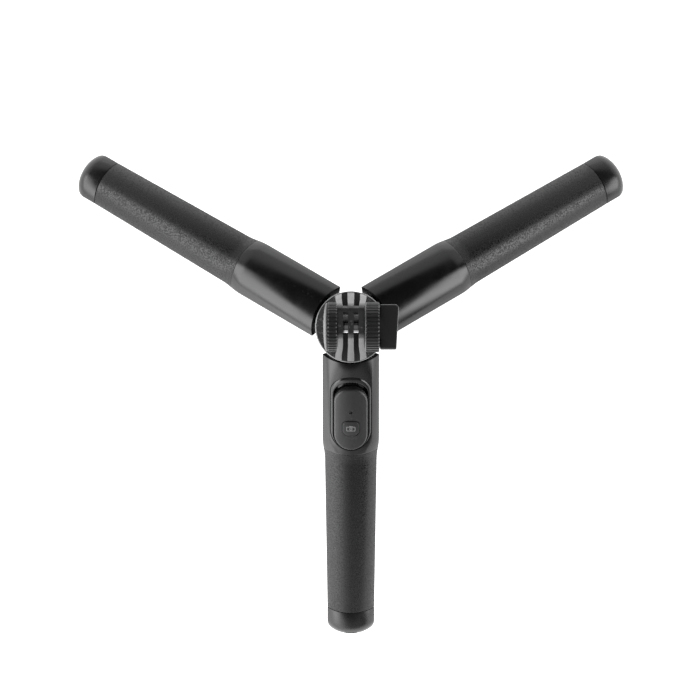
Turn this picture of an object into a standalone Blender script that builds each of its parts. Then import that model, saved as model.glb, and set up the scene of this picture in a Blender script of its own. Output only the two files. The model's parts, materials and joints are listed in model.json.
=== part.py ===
"""Selfie stick with a fold-out tripod, standing open: three handle-shaped legs, a five-stage
pole, a three-finger camera mount with a thumb screw, and a clip-in remote shutter.

Metres, +Z up along the pole. The origin is on the pole's axis, at the underside of its bottom
plug. -Y points along the front leg, which carries the remote. +X points to the thumb screw.
"""

from math import asin, atan2, cos, pi, radians, sin, sqrt

import bmesh
import bpy
from mathutils import Matrix, Vector

# Clearances
GAP = 0.0003
RUNNING = 0.00012
LEG_SPACE = 0.0010
PAD_SPACE = 0.0013

# How far a cutter reaches past what it cuts, and how round a slot shape's ends are
CUT_PAST = 0.0040
SLOT_ROUNDNESS = 0.98

# Pole
TUBE_RADIUS = 0.0090
TUBE_WALL = 0.0008
TUBE_SPACE = 0.0005
TUBE_COUNT = 5
TUBE_ABOVE_HUB = 0.0450
COLLAR_SKIRT = 0.0030
COLLAR_LIP = 0.0020
COLLAR_WALL = 0.0009
PLUG_FLANGE = 0.0020
PLUG_SPIGOT = 0.0035
POLE_LIFT = 0.0090

# Hub and hinges
BORE_WALL = 0.0010
EYE_RADIUS = 0.0033
EYE_SPACE = 0.0004
PIN_RADIUS = 0.0015
PIN_LENGTH = 0.0230
BRACKET_WIDTH = 0.0098
BRACKET_THICKNESS = 0.0052
BRACKET_REACH = 0.0150
HUB_RIM = 0.0054
HUB_BELOW = 0.0040
HUB_ABOVE = 0.0090
HUB_CHAMFER_WIDTH = 0.0018
HUB_CHAMFER_HEIGHT = 0.0023
HUB_CAP_HEIGHT = 0.0018
GRUB_RADIUS = 0.0015

# Legs
SPREAD = radians(60)
LEG_AZIMUTHS = {"front": -pi / 2, "right": radians(30), "left": radians(150)}
LEG_HALF_ANGLE = radians(58.3)
LEG_LENGTH = 0.1951
LEG_TOP = 0.00563
LEG_TOP_SLOPE = 0.14
LEG_SHOULDER = 0.0613
LEG_SHOULDER_LENGTH = 0.0154
LEG_SHOULDER_STEP = 0.00155
LEG_TAPER = 0.0170
LEG_STEPS = 14
GRIP_START = 0.0687
GRIP_THICKNESS = 0.0010
CAP_LENGTH = 0.0172
CAP_ROUNDING = 0.0090
POCKET_WALL = 0.0020
STUB_INSET = 0.0028
STUB_LENGTH = 0.0060
POCKET_HALF_ANGLE = radians(40)
PAD_WIDTH = 0.0080
PAD_DROP = 0.00405
PAD_LENGTH = 0.0102
PAD_SOLE = 0.0032

# Remote shutter and its cradle
REMOTE_WIDTH = 0.0194
REMOTE_LENGTH = 0.0408
REMOTE_TOP = 0.0013
REMOTE_HEIGHT = 0.0075
REMOTE_BASE_HEIGHT = 0.0040
REMOTE_CENTRE = 0.0436
REMOTE_WALL = 0.0012
CRADLE_SIDE = 0.0021
CRADLE_HEAD = 0.0076
CRADLE_TAIL = 0.0007
CRADLE_FLOOR = 0.0010
CRADLE_RIM = 0.0002
BUTTON_SIZE = 0.0096
BUTTON_RAISE = 0.0004
BUTTON_CENTRE = 0.0492
LED_RADIUS = 0.0008
LED_CENTRE = 0.0387
BOARD_THICKNESS = 0.0008
CELL_SPACE = 0.0005
CELL_HEIGHT = 0.0016
SWITCH_SIZE = 0.0060

# Head
HEAD_RADIUS = 0.0207
BASE_THICKNESS = 0.0055
BASE_CHAMFER = 0.0006
POST_RADIUS = 0.0040
POST_NECK = 0.0026
FLANGE_RADIUS = 0.0100
FLANGE_THICKNESS = 0.0022
WASHER_THICKNESS = 0.0008
CLIP_RADIUS = 0.0070
CLIP_THICKNESS = 0.0012
FOOT_HALF_WIDTH = 0.0098
FORK_HALF_LENGTH = 0.0200
FINGER = 0.0033
FINGER_PITCH = 0.0062
FINGER_RADIUS = 0.0083
BACK_LENGTH = 0.0126
BACK_DROP = 0.0008
KNOB_CLEARANCE = 0.0013
BOLT_RADIUS = 0.0035
THREAD_RADIUS = 0.0025
WEB_CLEARANCE = 0.0003
FORK_SCREW_OFFSET = 0.0135
FORK_SCREW_RADIUS = 0.0015
FORK_SCREW_DEPTH = 0.0040
SCREW_HEAD_RADIUS = 0.0027
SCREW_HEAD_HEIGHT = 0.0018

# Knobs
KNOB_RADIUS = 0.0146
NUT_KNOB_WIDTH = 0.0053
NUT_FLATS = 0.0080
NUT_THICKNESS = 0.0036
DOME_HEIGHT = 0.0019
THUMB_KNOB_WIDTH = 0.0084
CLAMP_WASHER_RADIUS = 0.0060
CLAMP_WASHER_THICKNESS = 0.0008
WING_WIDTH = 0.0262
WING_REACH = 0.0113
WING_THICKNESS = 0.0055
WING_SLANT = 0.0014
WING_TONGUE = 0.0030

# Sizes worked out from those above
HINGE_RADIUS = TUBE_RADIUS + GAP + BORE_WALL + EYE_RADIUS + EYE_SPACE
HUB_RADIUS = HINGE_RADIUS + HUB_RIM
LEG_RADIUS = HUB_RADIUS
LEG_INNER = TUBE_RADIUS + LEG_SPACE
CROWN = LEG_RADIUS - HINGE_RADIUS
CAP_START = LEG_LENGTH - CAP_LENGTH
PAD_END = LEG_LENGTH - GAP
PAD_FACE = LEG_INNER - HINGE_RADIUS - PAD_SPACE
HINGE_HEIGHT = PAD_END * cos(SPREAD) - (PAD_FACE - PAD_DROP) * sin(SPREAD) - POLE_LIFT
TUBE_STEP = TUBE_WALL + TUBE_SPACE
COLLAR_STEP = COLLAR_SKIRT + COLLAR_LIP + GAP
BUSH_STEP = PLUG_FLANGE + PLUG_SPIGOT + GAP
POLE_TOP = HINGE_HEIGHT + HUB_ABOVE + TUBE_ABOVE_HUB
SOCKET_TOP = POLE_TOP + (TUBE_COUNT - 1) * COLLAR_STEP
BASE_BOTTOM = SOCKET_TOP + GAP + FLANGE_THICKNESS + GAP + WASHER_THICKNESS + GAP
BASE_TOP = BASE_BOTTOM + BASE_THICKNESS
BOLT_HEIGHT = KNOB_RADIUS + KNOB_CLEARANCE
FOOT_THICKNESS = KNOB_CLEARANCE - GAP
FORK_BOTTOM = BASE_TOP + GAP
BOLT_AXIS = BASE_TOP + BOLT_HEIGHT
FORK_SIDE = FINGER_PITCH + FINGER / 2
REMOTE_BOTTOM = CROWN + REMOTE_TOP - REMOTE_HEIGHT
CRADLE_BOTTOM = REMOTE_BOTTOM - GAP - CRADLE_FLOOR
CELL_RADIUS = REMOTE_WIDTH / 2 - REMOTE_WALL - CELL_SPACE

MATERIALS = {
    "satin_black": ((0.020, 0.020, 0.021), 0.42, 0.0),
    "grip_black": ((0.016, 0.016, 0.017), 0.62, 0.0),
    "rubber_black": ((0.012, 0.012, 0.012), 0.80, 0.0),
    "gloss_black": ((0.012, 0.012, 0.013), 0.16, 0.0),
    "tube_black": ((0.030, 0.030, 0.032), 0.30, 1.0),
    "remote_grey": ((0.035, 0.035, 0.037), 0.48, 0.0),
    "steel": ((0.62, 0.62, 0.64), 0.22, 1.0),
    "board_green": ((0.02, 0.12, 0.05), 0.50, 0.0),
    "led_lens": ((0.75, 0.78, 0.80), 0.20, 0.0),
}


def clear_scene():
    for old in list(bpy.data.objects):
        bpy.data.objects.remove(old)


def new_collection(name):
    collection = bpy.data.collections.new(name)
    bpy.context.scene.collection.children.link(collection)
    return collection


def material(name):
    """The named material, made the first time it is asked for."""
    if name in bpy.data.materials:
        return bpy.data.materials[name]
    colour, roughness, metallic = MATERIALS[name]
    made = bpy.data.materials.new(name)
    made.use_nodes = True
    shader = made.node_tree.nodes["Principled BSDF"]
    shader.inputs["Base Color"].default_value = (*colour, 1.0)
    shader.inputs["Roughness"].default_value = roughness
    shader.inputs["Metallic"].default_value = metallic
    return made


def place(name, mesh, finish, parent=None, matrix=None):
    """Link a piece, or a hidden cutter where finish is None."""
    piece = bpy.data.objects.new(name, mesh)
    if finish is None:
        CUTTERS.objects.link(piece)
        piece.hide_render = True
        piece.display_type = "WIRE"
    else:
        PIECES.objects.link(piece)
        mesh.materials.append(material(finish))
    piece.parent = parent
    if matrix is not None:
        piece.matrix_local = matrix
    return piece


def empty(name, location=(0, 0, 0), rotation=(0, 0, 0), parent=None):
    made = bpy.data.objects.new(name, None)
    PIECES.objects.link(made)
    made.location = location
    made.rotation_euler = rotation
    made.parent = parent
    return made


def from_bmesh(name, bm):
    bmesh.ops.recalc_face_normals(bm, faces=bm.faces)
    mesh = bpy.data.meshes.new(name)
    bm.to_mesh(mesh)
    bm.free()
    return mesh


def turned(name, profile, finish, parent=None, matrix=None, steps=24):
    """A solid of revolution about Z. The profile of (radius, height) points runs down the
    outer side. It ends on the axis, or is closed into a ring where it never meets the axis."""
    mesh = bpy.data.meshes.new(name)
    points = [(radius, 0, height) for radius, height in profile]
    edges = [(i, i + 1) for i in range(len(points) - 1)]
    if profile[0][0] > 0:
        edges.append((len(points) - 1, 0))
    mesh.from_pydata(points, edges, [])
    piece = place(name, mesh, finish, parent, matrix)
    screw = piece.modifiers.new("turn", "SCREW")
    screw.steps = steps
    screw.render_steps = steps
    screw.use_merge_vertices = True
    screw.merge_threshold = 0.00001
    return piece


def ring(outer, inner, top, bottom):
    return [(outer, top), (outer, bottom), (inner, bottom), (inner, top)]


def rod(radius, top, bottom):
    return [(0, top), (radius, top), (radius, bottom), (0, bottom)]


def prism(name, outline, low, high, finish, parent=None, matrix=None):
    """A flat outline of (x, y) points, standing from low to high along Z."""
    bm = bmesh.new()
    face = bm.faces.new([bm.verts.new((x, y, low)) for x, y in outline])
    raised = bmesh.ops.extrude_face_region(bm, geom=[face])["geom"]
    corners = [item for item in raised if isinstance(item, bmesh.types.BMVert)]
    bmesh.ops.translate(bm, vec=(0, 0, high - low), verts=corners)
    return place(name, from_bmesh(name, bm), finish, parent, matrix)


def block(name, low, high, finish, parent=None, matrix=None):
    outline = [(low[0], low[1]), (high[0], low[1]), (high[0], high[1]), (low[0], high[1])]
    return prism(name, outline, low[2], high[2], finish, parent, matrix)


def boolean(piece, other, operation="DIFFERENCE"):
    modifier = piece.modifiers.new(other.name, "BOOLEAN")
    modifier.operation = operation
    modifier.object = other


def arc(centre, radius, start, end, steps):
    """Points from angle start to angle end about the centre."""
    angles = [start + (end - start) * i / steps for i in range(steps + 1)]
    return [(centre[0] + radius * cos(a), centre[1] + radius * sin(a)) for a in angles]


def rounded(width, height, radius, centre=(0, 0), steps=5):
    """A rectangle with round corners, or a slot shape where the radius is half the width."""
    half_width, half_height = width / 2 - radius, height / 2 - radius
    points = []
    for i, (sx, sy) in enumerate([(1, 1), (-1, 1), (-1, -1), (1, -1)]):
        corner = (centre[0] + sx * half_width, centre[1] + sy * half_height)
        points += arc(corner, radius, i * pi / 2, (i + 1) * pi / 2, steps)
    kept = []
    for point in points:
        if not kept or (Vector(point) - Vector(kept[-1])).length > 0.00001:
            kept.append(point)
    return kept


def sector(name, profile, half_angle, finish, parent=None, steps=LEG_STEPS):
    """A leg piece: a (radius, distance down the leg) outline swept about the pole's axis as
    it lies in a folded leg, whose hinge is the parent's origin."""
    bm = bmesh.new()
    centre = Vector((-HINGE_RADIUS, 0, 0))
    turn = Matrix.Rotation(-half_angle, 3, "Z")
    corners = [centre + turn @ Vector((radius, 0, -down)) for radius, down in profile]
    face = bm.faces.new([bm.verts.new(corner) for corner in corners])
    bmesh.ops.spin(
        bm,
        geom=[face],
        cent=centre,
        axis=(0, 0, 1),
        angle=2 * half_angle,
        steps=steps,
        use_duplicate=False,
    )
    return place(name, from_bmesh(name, bm), finish, parent)


# ---------------------------------------------------------------- pole


def tube_outer(stage):
    return TUBE_RADIUS - stage * TUBE_STEP


def tube_inner(stage):
    return tube_outer(stage) - TUBE_WALL


def build_pole():
    """Five nested tubes, each with a plug or guide bush below and a collar above."""
    for stage in range(TUBE_COUNT):
        number = stage + 1
        top = POLE_TOP + stage * COLLAR_STEP
        flange_bottom = stage * BUSH_STEP
        flange_top = flange_bottom + PLUG_FLANGE
        outer, inner = tube_outer(stage), tube_inner(stage)
        turned(f"tube_{number}", ring(outer, inner, top, flange_top + GAP), "tube_black")
        flange = outer if stage == 0 else tube_inner(stage - 1) - RUNNING
        plug = [
            (0, flange_top + PLUG_SPIGOT),
            (inner - RUNNING, flange_top + PLUG_SPIGOT),
            (inner - RUNNING, flange_top),
            (flange, flange_top),
            (flange, flange_bottom),
            (0, flange_bottom),
        ]
        turned("bottom_plug" if stage == 0 else f"guide_bush_{number}", plug, "rubber_black")
        if number < TUBE_COUNT:
            build_collar(number, top, outer)


def build_collar(number, tube_top, outer):
    skirt_inner = outer + GAP
    lip_inner = tube_outer(number) + GAP
    skirt_outer = skirt_inner + COLLAR_WALL
    profile = [
        (skirt_outer - COLLAR_WALL / 2, tube_top + COLLAR_LIP),
        (skirt_outer, tube_top + COLLAR_LIP - COLLAR_WALL / 2),
        (skirt_outer, tube_top - COLLAR_SKIRT),
        (skirt_inner, tube_top - COLLAR_SKIRT),
        (skirt_inner, tube_top + GAP),
        (lip_inner, tube_top + GAP),
        (lip_inner, tube_top + COLLAR_LIP),
    ]
    turned(f"collar_{number}", profile, "satin_black")


# ---------------------------------------------------------------- hub


def build_hub():
    """The hinge block on the pole, with a slot and a cross pin for each leg."""
    bottom, top = HINGE_HEIGHT - HUB_BELOW, HINGE_HEIGHT + HUB_ABOVE
    bore = TUBE_RADIUS + GAP
    profile = [
        (HUB_RADIUS - HUB_CHAMFER_WIDTH / 2, top),
        (HUB_RADIUS, top - HUB_CHAMFER_WIDTH / 2),
        (HUB_RADIUS, bottom + HUB_CHAMFER_HEIGHT),
        (HUB_RADIUS - HUB_CHAMFER_WIDTH, bottom),
        (bore, bottom),
        (bore, top),
    ]
    hub = turned("hub_body", profile, "satin_black", steps=36)
    slot_inner = HINGE_RADIUS - EYE_RADIUS - EYE_SPACE
    slot_top = EYE_RADIUS + EYE_SPACE
    half_slot = BRACKET_WIDTH / 2 + GAP
    for side, azimuth in LEG_AZIMUTHS.items():
        hinge = empty(f"hub_{side}", (0, 0, HINGE_HEIGHT), (0, 0, azimuth))
        low = (slot_inner, -half_slot, -HUB_BELOW - CUT_PAST)
        high = (HUB_RADIUS + CUT_PAST, half_slot, slot_top)
        boolean(hub, block(f"cut_slot_{side}", low, high, None, hinge))
        across = Matrix.Translation((HINGE_RADIUS, 0, 0)) @ Matrix.Rotation(pi / 2, 4, "X")
        hole = rod(PIN_RADIUS + GAP, HUB_RADIUS, -HUB_RADIUS)
        boolean(hub, turned(f"cut_pin_{side}", hole, None, hinge, across, steps=16))
        half_pin = PIN_LENGTH / 2
        pin = rod(PIN_RADIUS, half_pin, -half_pin)
        turned(f"hinge_pin_{side}", pin, "steel", hinge, across, steps=16)
    build_grub_screw(hub)
    cap_bottom = top + GAP
    cap = ring(HUB_RADIUS - HUB_CHAMFER_WIDTH, bore, cap_bottom + HUB_CAP_HEIGHT, cap_bottom)
    turned("hub_cap", cap, "gloss_black", steps=36)


def build_grub_screw(hub):
    """The screw that locks the hub on the outer tube, from the side between two legs."""
    height = HINGE_HEIGHT + EYE_RADIUS
    seat = Matrix.Translation((0, 0, height)) @ Matrix.Rotation(pi / 2, 4, "X")
    inner, outer = TUBE_RADIUS + 2 * GAP, HUB_RADIUS - 2 * GAP
    hole = rod(GRUB_RADIUS + GAP, -TUBE_RADIUS, -HUB_RADIUS - GRUB_RADIUS)
    boolean(hub, turned("cut_grub", hole, None, None, seat, steps=16))
    turned("hub_grub_screw", rod(GRUB_RADIUS, -inner, -outer), "steel", None, seat, steps=16)


# ---------------------------------------------------------------- legs


def leg_outer(down):
    """The leg's outer radius at a distance down from the hinge."""
    taper = max(0.0, down - LEG_SHOULDER - LEG_SHOULDER_LENGTH) * LEG_TAPER
    share = min(1.0, max(0.0, (down - LEG_SHOULDER) / LEG_SHOULDER_LENGTH))
    step = LEG_SHOULDER_STEP * (1 - cos(pi * share)) / 2
    return LEG_RADIUS - step - taper


def outer_line(start, end, inset=0.0):
    """Points down the outer skin from start to end, close together on the shoulder."""
    shoulder = [LEG_SHOULDER + LEG_SHOULDER_LENGTH * i / 6 for i in range(7)]
    stops = [start, *[down for down in shoulder if start < down < end], end]
    return [(leg_outer(down) - inset, down) for down in stops]


def slope_top(piece):
    """Tilt the leg's top face, so that it meets the hub evenly in both positions."""
    for vertex in piece.data.vertices:
        if abs(vertex.co.z + LEG_TOP) < GAP:
            vertex.co.z = -LEG_TOP - LEG_TOP_SLOPE * vertex.co.x


def leg_shell(side, hinge):
    """The hollowed handle section that the grip, the end cap and the bracket fit on."""
    inset = GRIP_THICKNESS + GAP
    profile = [
        *outer_line(LEG_TOP, GRIP_START - GAP),
        *outer_line(GRIP_START - GAP, CAP_START, inset),
        (LEG_INNER, CAP_START),
        (LEG_INNER, LEG_TOP),
    ]
    shell = sector(f"leg_{side}_shell", profile, LEG_HALF_ANGLE, "satin_black", hinge)
    slope_top(shell)
    boolean(shell, cap_stub(f"cut_stub_{side}", 0.0, hinge), "UNION")
    pockets = [(GRIP_START + inset, CAP_START - 6 * POCKET_WALL)]
    if side != "front":
        pockets.append((BRACKET_REACH + 4 * POCKET_WALL, GRIP_START - POCKET_WALL))
    for i, (start, end) in enumerate(pockets):
        deep = leg_outer(end) - inset - POCKET_WALL
        shape = [(deep, start), (deep, end), (LEG_INNER - POCKET_WALL, end)]
        shape.append((LEG_INNER - POCKET_WALL, start))
        cutter = sector(f"cut_pocket_{side}_{i}", shape, POCKET_HALF_ANGLE, None, hinge, 8)
        boolean(shell, cutter)
    half_width, half_thickness = BRACKET_WIDTH / 2 + GAP, BRACKET_THICKNESS / 2 + GAP
    low = (-half_thickness, -half_width, -BRACKET_REACH - GAP)
    high = (half_thickness, half_width, 0)
    boolean(shell, block(f"cut_bracket_{side}", low, high, None, hinge))
    return shell


def cap_stub(name, growth, hinge):
    """The tongue of the shell that the end cap is pushed on to, or its socket if grown."""
    inner = LEG_INNER + POCKET_WALL - growth
    outer = leg_outer(CAP_START) - STUB_INSET + growth
    start, end = CAP_START - POCKET_WALL, CAP_START + STUB_LENGTH + growth
    profile = [(outer, start), (outer, end), (inner, end), (inner, start)]
    half_angle = POCKET_HALF_ANGLE + growth / inner
    return sector(name, profile, half_angle, None, hinge, 8)


def leg_cap(side, hinge):
    """The end cap, with a rounded outer end."""
    start = CAP_START + GAP
    outer = leg_outer(start)
    centre_radius, centre_down = outer - CAP_ROUNDING, LEG_LENGTH - CAP_ROUNDING
    reach = sqrt(CAP_ROUNDING**2 - (LEG_INNER - centre_radius) ** 2)
    last = atan2(reach, LEG_INNER - centre_radius)
    profile = [(outer, start), *arc((centre_radius, centre_down), CAP_ROUNDING, 0, last, 7)]
    profile.append((LEG_INNER, start))
    cap = sector(f"leg_{side}_cap", profile, LEG_HALF_ANGLE, "gloss_black", hinge)
    boolean(cap, cap_stub(f"cut_socket_{side}", GAP, hinge))


def leg_foot(side, hinge):
    """The rubber pad at the leg's end, whose sole is level when the leg is open."""
    fall = cos(SPREAD) / sin(SPREAD)
    end_x = PAD_FACE - PAD_DROP
    outline = [
        (PAD_FACE, -(PAD_END - PAD_LENGTH)),
        (PAD_FACE, -(PAD_END - 2 * GAP)),
        (end_x, -PAD_END),
        (end_x - PAD_SOLE * fall, -(PAD_END - PAD_SOLE)),
        (end_x + GAP, -(PAD_END - PAD_LENGTH + PAD_SOLE)),
    ]
    upright = Matrix.Rotation(pi / 2, 4, "X")
    half = PAD_WIDTH / 2
    prism(f"leg_{side}_foot", outline, -half, half, "rubber_black", hinge, upright)


def leg_bracket(side, hinge):
    """The metal tang in the leg's top end, with the eye that turns on the hinge pin."""
    half = BRACKET_THICKNESS / 2
    lean = asin(half / EYE_RADIUS)
    outline = [
        (-half, -BRACKET_REACH),
        (half, -BRACKET_REACH),
        *arc((0, 0), EYE_RADIUS, -pi / 2 + lean, 1.5 * pi - lean, 18),
    ]
    upright = Matrix.Rotation(pi / 2, 4, "X")
    half_width = BRACKET_WIDTH / 2
    name = f"leg_{side}_bracket"
    bracket = prism(name, outline, -half_width, half_width, "satin_black", hinge, upright)
    hole = rod(PIN_RADIUS + RUNNING, half_width + GAP, -half_width - GAP)
    boolean(bracket, turned(f"cut_eye_{side}", hole, None, hinge, upright, steps=16))


def build_leg(side, azimuth):
    place_x, place_y = HINGE_RADIUS * cos(azimuth), HINGE_RADIUS * sin(azimuth)
    swivel = empty(f"hinge_{side}", (place_x, place_y, HINGE_HEIGHT), (0, 0, azimuth))
    hinge = empty(f"open_{side}", rotation=(0, -SPREAD, 0), parent=swivel)
    shell = leg_shell(side, hinge)
    leg_cap(side, hinge)
    leg_foot(side, hinge)
    leg_bracket(side, hinge)
    grip = outer_line(GRIP_START, CAP_START)
    inner = outer_line(GRIP_START, CAP_START, GRIP_THICKNESS)
    sector(f"leg_{side}_grip", grip + inner[::-1], LEG_HALF_ANGLE, "grip_black", hinge)
    return hinge, shell


# ---------------------------------------------------------------- remote


def facing_out():
    """Turns a flat outline so that its Z points out of the leg and its Y points up it."""
    return Matrix(((0, 0, 1, 0), (1, 0, 0, 0), (0, 1, 0, 0), (0, 0, 0, 1)))


def cradle_outline(growth=0.0):
    """Outline of the cradle: the remote's slot shape, longer at the head for the thumb."""
    width = REMOTE_WIDTH + 2 * (CRADLE_SIDE + GAP + growth)
    top = -(REMOTE_CENTRE - REMOTE_LENGTH / 2 - CRADLE_HEAD - growth)
    bottom = -(REMOTE_CENTRE + REMOTE_LENGTH / 2 + CRADLE_TAIL + GAP + growth)
    return rounded(width, top - bottom, width / 2 * SLOT_ROUNDNESS, (0, (top + bottom) / 2), 8)


def remote_outline(growth=0.0):
    width, length = REMOTE_WIDTH + 2 * growth, REMOTE_LENGTH + 2 * growth
    return rounded(width, length, width / 2 * SLOT_ROUNDNESS, (0, -REMOTE_CENTRE), 8)


def build_cradle(hinge, shell):
    """The tray let into the front leg, with a ramp at its head to lift the remote out."""
    out = facing_out()
    rim = CROWN + CRADLE_RIM
    past = rim + CUT_PAST
    pocket = prism("cut_leg_pocket", cradle_outline(GAP), CRADLE_BOTTOM - GAP, past, None,
                   hinge, out)
    boolean(shell, pocket)
    cradle = prism("remote_cradle", cradle_outline(), CRADLE_BOTTOM, rim, "gloss_black",
                   hinge, out)
    seat = prism("cut_seat", remote_outline(GAP), REMOTE_BOTTOM - GAP, past, None, hinge, out)
    boolean(cradle, seat)
    head = REMOTE_CENTRE - REMOTE_LENGTH / 2
    ramp_foot = REMOTE_BOTTOM + REMOTE_BASE_HEIGHT
    outline = [
        (past, -(head - CRADLE_HEAD + CRADLE_SIDE)),
        (rim, -(head - CRADLE_HEAD + CRADLE_SIDE)),
        (ramp_foot, -(head - CRADLE_SIDE)),
        (ramp_foot, -(head + REMOTE_WIDTH / 2)),
        (past, -(head + REMOTE_WIDTH / 2)),
    ]
    half = REMOTE_WIDTH / 2 - CRADLE_SIDE
    upright = Matrix.Rotation(pi / 2, 4, "X")
    boolean(cradle, prism("cut_ramp", outline, -half, half, None, hinge, upright))


def build_remote(hinge):
    """Two shells around a board with its switch, cell and lamp, and the shutter button."""
    out = facing_out()
    low, high = REMOTE_BOTTOM, CROWN + REMOTE_TOP
    split = low + REMOTE_BASE_HEIGHT
    inside = -REMOTE_WALL
    base = prism("remote_base", remote_outline(), low, split, "remote_grey", hinge, out)
    floor = low + REMOTE_WALL
    room = prism("cut_base", remote_outline(inside), floor, high, None, hinge, out)
    boolean(base, room)
    cover = prism("remote_cover", remote_outline(), split + GAP, high, "remote_grey", hinge,
                  out)
    ceiling = high - REMOTE_WALL
    room = prism("cut_cover", remote_outline(inside), low, ceiling, None, hinge, out)
    boolean(cover, room)
    button_place = (0, -BUTTON_CENTRE)
    hole = rounded(BUTTON_SIZE + 2 * GAP, BUTTON_SIZE + 2 * GAP, BUTTON_SIZE / 3,
                   button_place)
    boolean(cover, prism("cut_button", hole, low, high + REMOTE_WALL, None, hinge, out))
    lamp = Matrix.Translation((0, 0, -LED_CENTRE)) @ out
    lamp_hole = rod(LED_RADIUS + GAP, high + REMOTE_WALL, split)
    boolean(cover, turned("cut_led", lamp_hole, None, hinge, lamp, steps=16))

    cell_bottom = floor + GAP
    cell_place = Matrix.Translation((0, 0, -(REMOTE_CENTRE - REMOTE_WIDTH / 4))) @ out
    cell = rod(CELL_RADIUS, cell_bottom + CELL_HEIGHT, cell_bottom)
    turned("remote_cell", cell, "steel", hinge, cell_place, steps=24)
    board_bottom = cell_bottom + CELL_HEIGHT + GAP
    board_top = board_bottom + BOARD_THICKNESS
    prism("remote_board", remote_outline(inside - GAP), board_bottom, board_top,
          "board_green", hinge, out)
    switch_top = ceiling - GAP - REMOTE_WALL
    half_switch = SWITCH_SIZE / 2
    block("remote_switch", (-half_switch, -BUTTON_CENTRE - half_switch, board_top + GAP),
          (half_switch, -BUTTON_CENTRE + half_switch, switch_top), "steel", hinge, out)
    face = rounded(BUTTON_SIZE, BUTTON_SIZE, BUTTON_SIZE / 3, button_place)
    prism("remote_button", face, switch_top + 2 * GAP, high + BUTTON_RAISE, "remote_grey",
          hinge, out)
    led = rod(LED_RADIUS, high - GAP, board_top + GAP)
    turned("remote_led", led, "led_lens", hinge, lamp, steps=16)


# ---------------------------------------------------------------- head


def build_socket():
    """The fitting on the last tube: a skirt, a flange and the post that the head turns on."""
    tube = tube_outer(TUBE_COUNT - 1)
    flange_bottom = SOCKET_TOP + GAP
    flange_top = flange_bottom + FLANGE_THICKNESS
    recess = BASE_TOP - CLIP_THICKNESS - 3 * GAP
    skirt = tube + GAP + COLLAR_WALL
    profile = [
        (0, recess + CLIP_THICKNESS + 2 * GAP),
        (POST_NECK, recess + CLIP_THICKNESS + 2 * GAP),
        (POST_NECK, recess),
        (POST_RADIUS, recess),
        (POST_RADIUS, flange_top),
        (FLANGE_RADIUS, flange_top),
        (FLANGE_RADIUS, flange_bottom + FLANGE_THICKNESS / 2),
        (skirt, flange_bottom - FLANGE_THICKNESS / 4),
        (skirt, SOCKET_TOP - COLLAR_SKIRT),
        (tube + GAP, SOCKET_TOP - COLLAR_SKIRT),
        (tube + GAP, flange_bottom),
        (0, flange_bottom),
    ]
    turned("head_socket", profile, "satin_black")
    washer_bottom = flange_top + GAP
    washer = ring(FLANGE_RADIUS - GAP, POST_RADIUS + GAP, washer_bottom + WASHER_THICKNESS,
                  washer_bottom)
    turned("pan_washer", washer, "rubber_black")
    clip = ring(CLIP_RADIUS, POST_NECK + GAP, recess + GAP + CLIP_THICKNESS, recess + GAP)
    turned("pan_clip", clip, "steel")
    return recess


def build_base(recess):
    """The round swivel plate under the fork."""
    room, bore = CLIP_RADIUS + GAP, POST_RADIUS + GAP
    profile = [
        (HEAD_RADIUS - BASE_CHAMFER, BASE_TOP),
        (HEAD_RADIUS, BASE_TOP - BASE_CHAMFER),
        (HEAD_RADIUS, BASE_BOTTOM + BASE_CHAMFER),
        (HEAD_RADIUS - BASE_CHAMFER, BASE_BOTTOM),
        (bore, BASE_BOTTOM),
        (bore, recess),
        (room, recess),
        (room, BASE_TOP),
    ]
    return turned("swivel_base", profile, "gloss_black", steps=36)


def fork_side_outline():
    """A finger seen from the side, as (distance along Y, height above the swivel plate)."""
    end, foot = FORK_HALF_LENGTH, GAP
    away = sqrt((BOLT_HEIGHT - FOOT_THICKNESS) ** 2 + end**2)
    lean = asin(FINGER_RADIUS / away)
    to_axis = atan2(BOLT_HEIGHT - FOOT_THICKNESS, end)
    touch = to_axis + lean + pi / 2
    front = arc((0, BOLT_HEIGHT), FINGER_RADIUS, touch, pi / 2, 8)
    top = BOLT_HEIGHT + FINGER_RADIUS
    return [
        (end, foot),
        (end, FOOT_THICKNESS),
        (BACK_LENGTH, top - BACK_DROP),
        *front[::-1],
        (-end, FOOT_THICKNESS),
        (-end, foot),
    ]


def web_outline():
    """The web behind the fingers, hollowed for the round lugs of what is mounted."""
    radius = FINGER_RADIUS + WEB_CLEARANCE
    hollow = arc((0, BOLT_HEIGHT), radius, -pi / 2, 0, 8)
    top = BOLT_HEIGHT + FINGER_RADIUS - 3 * BACK_DROP
    return [
        (-FINGER, FOOT_THICKNESS / 2),
        (BACK_LENGTH - GAP, FOOT_THICKNESS / 2),
        (BACK_LENGTH - GAP, top),
        (radius, top),
        *hollow[::-1],
        (-FINGER, BOLT_HEIGHT - radius),
    ]


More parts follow.
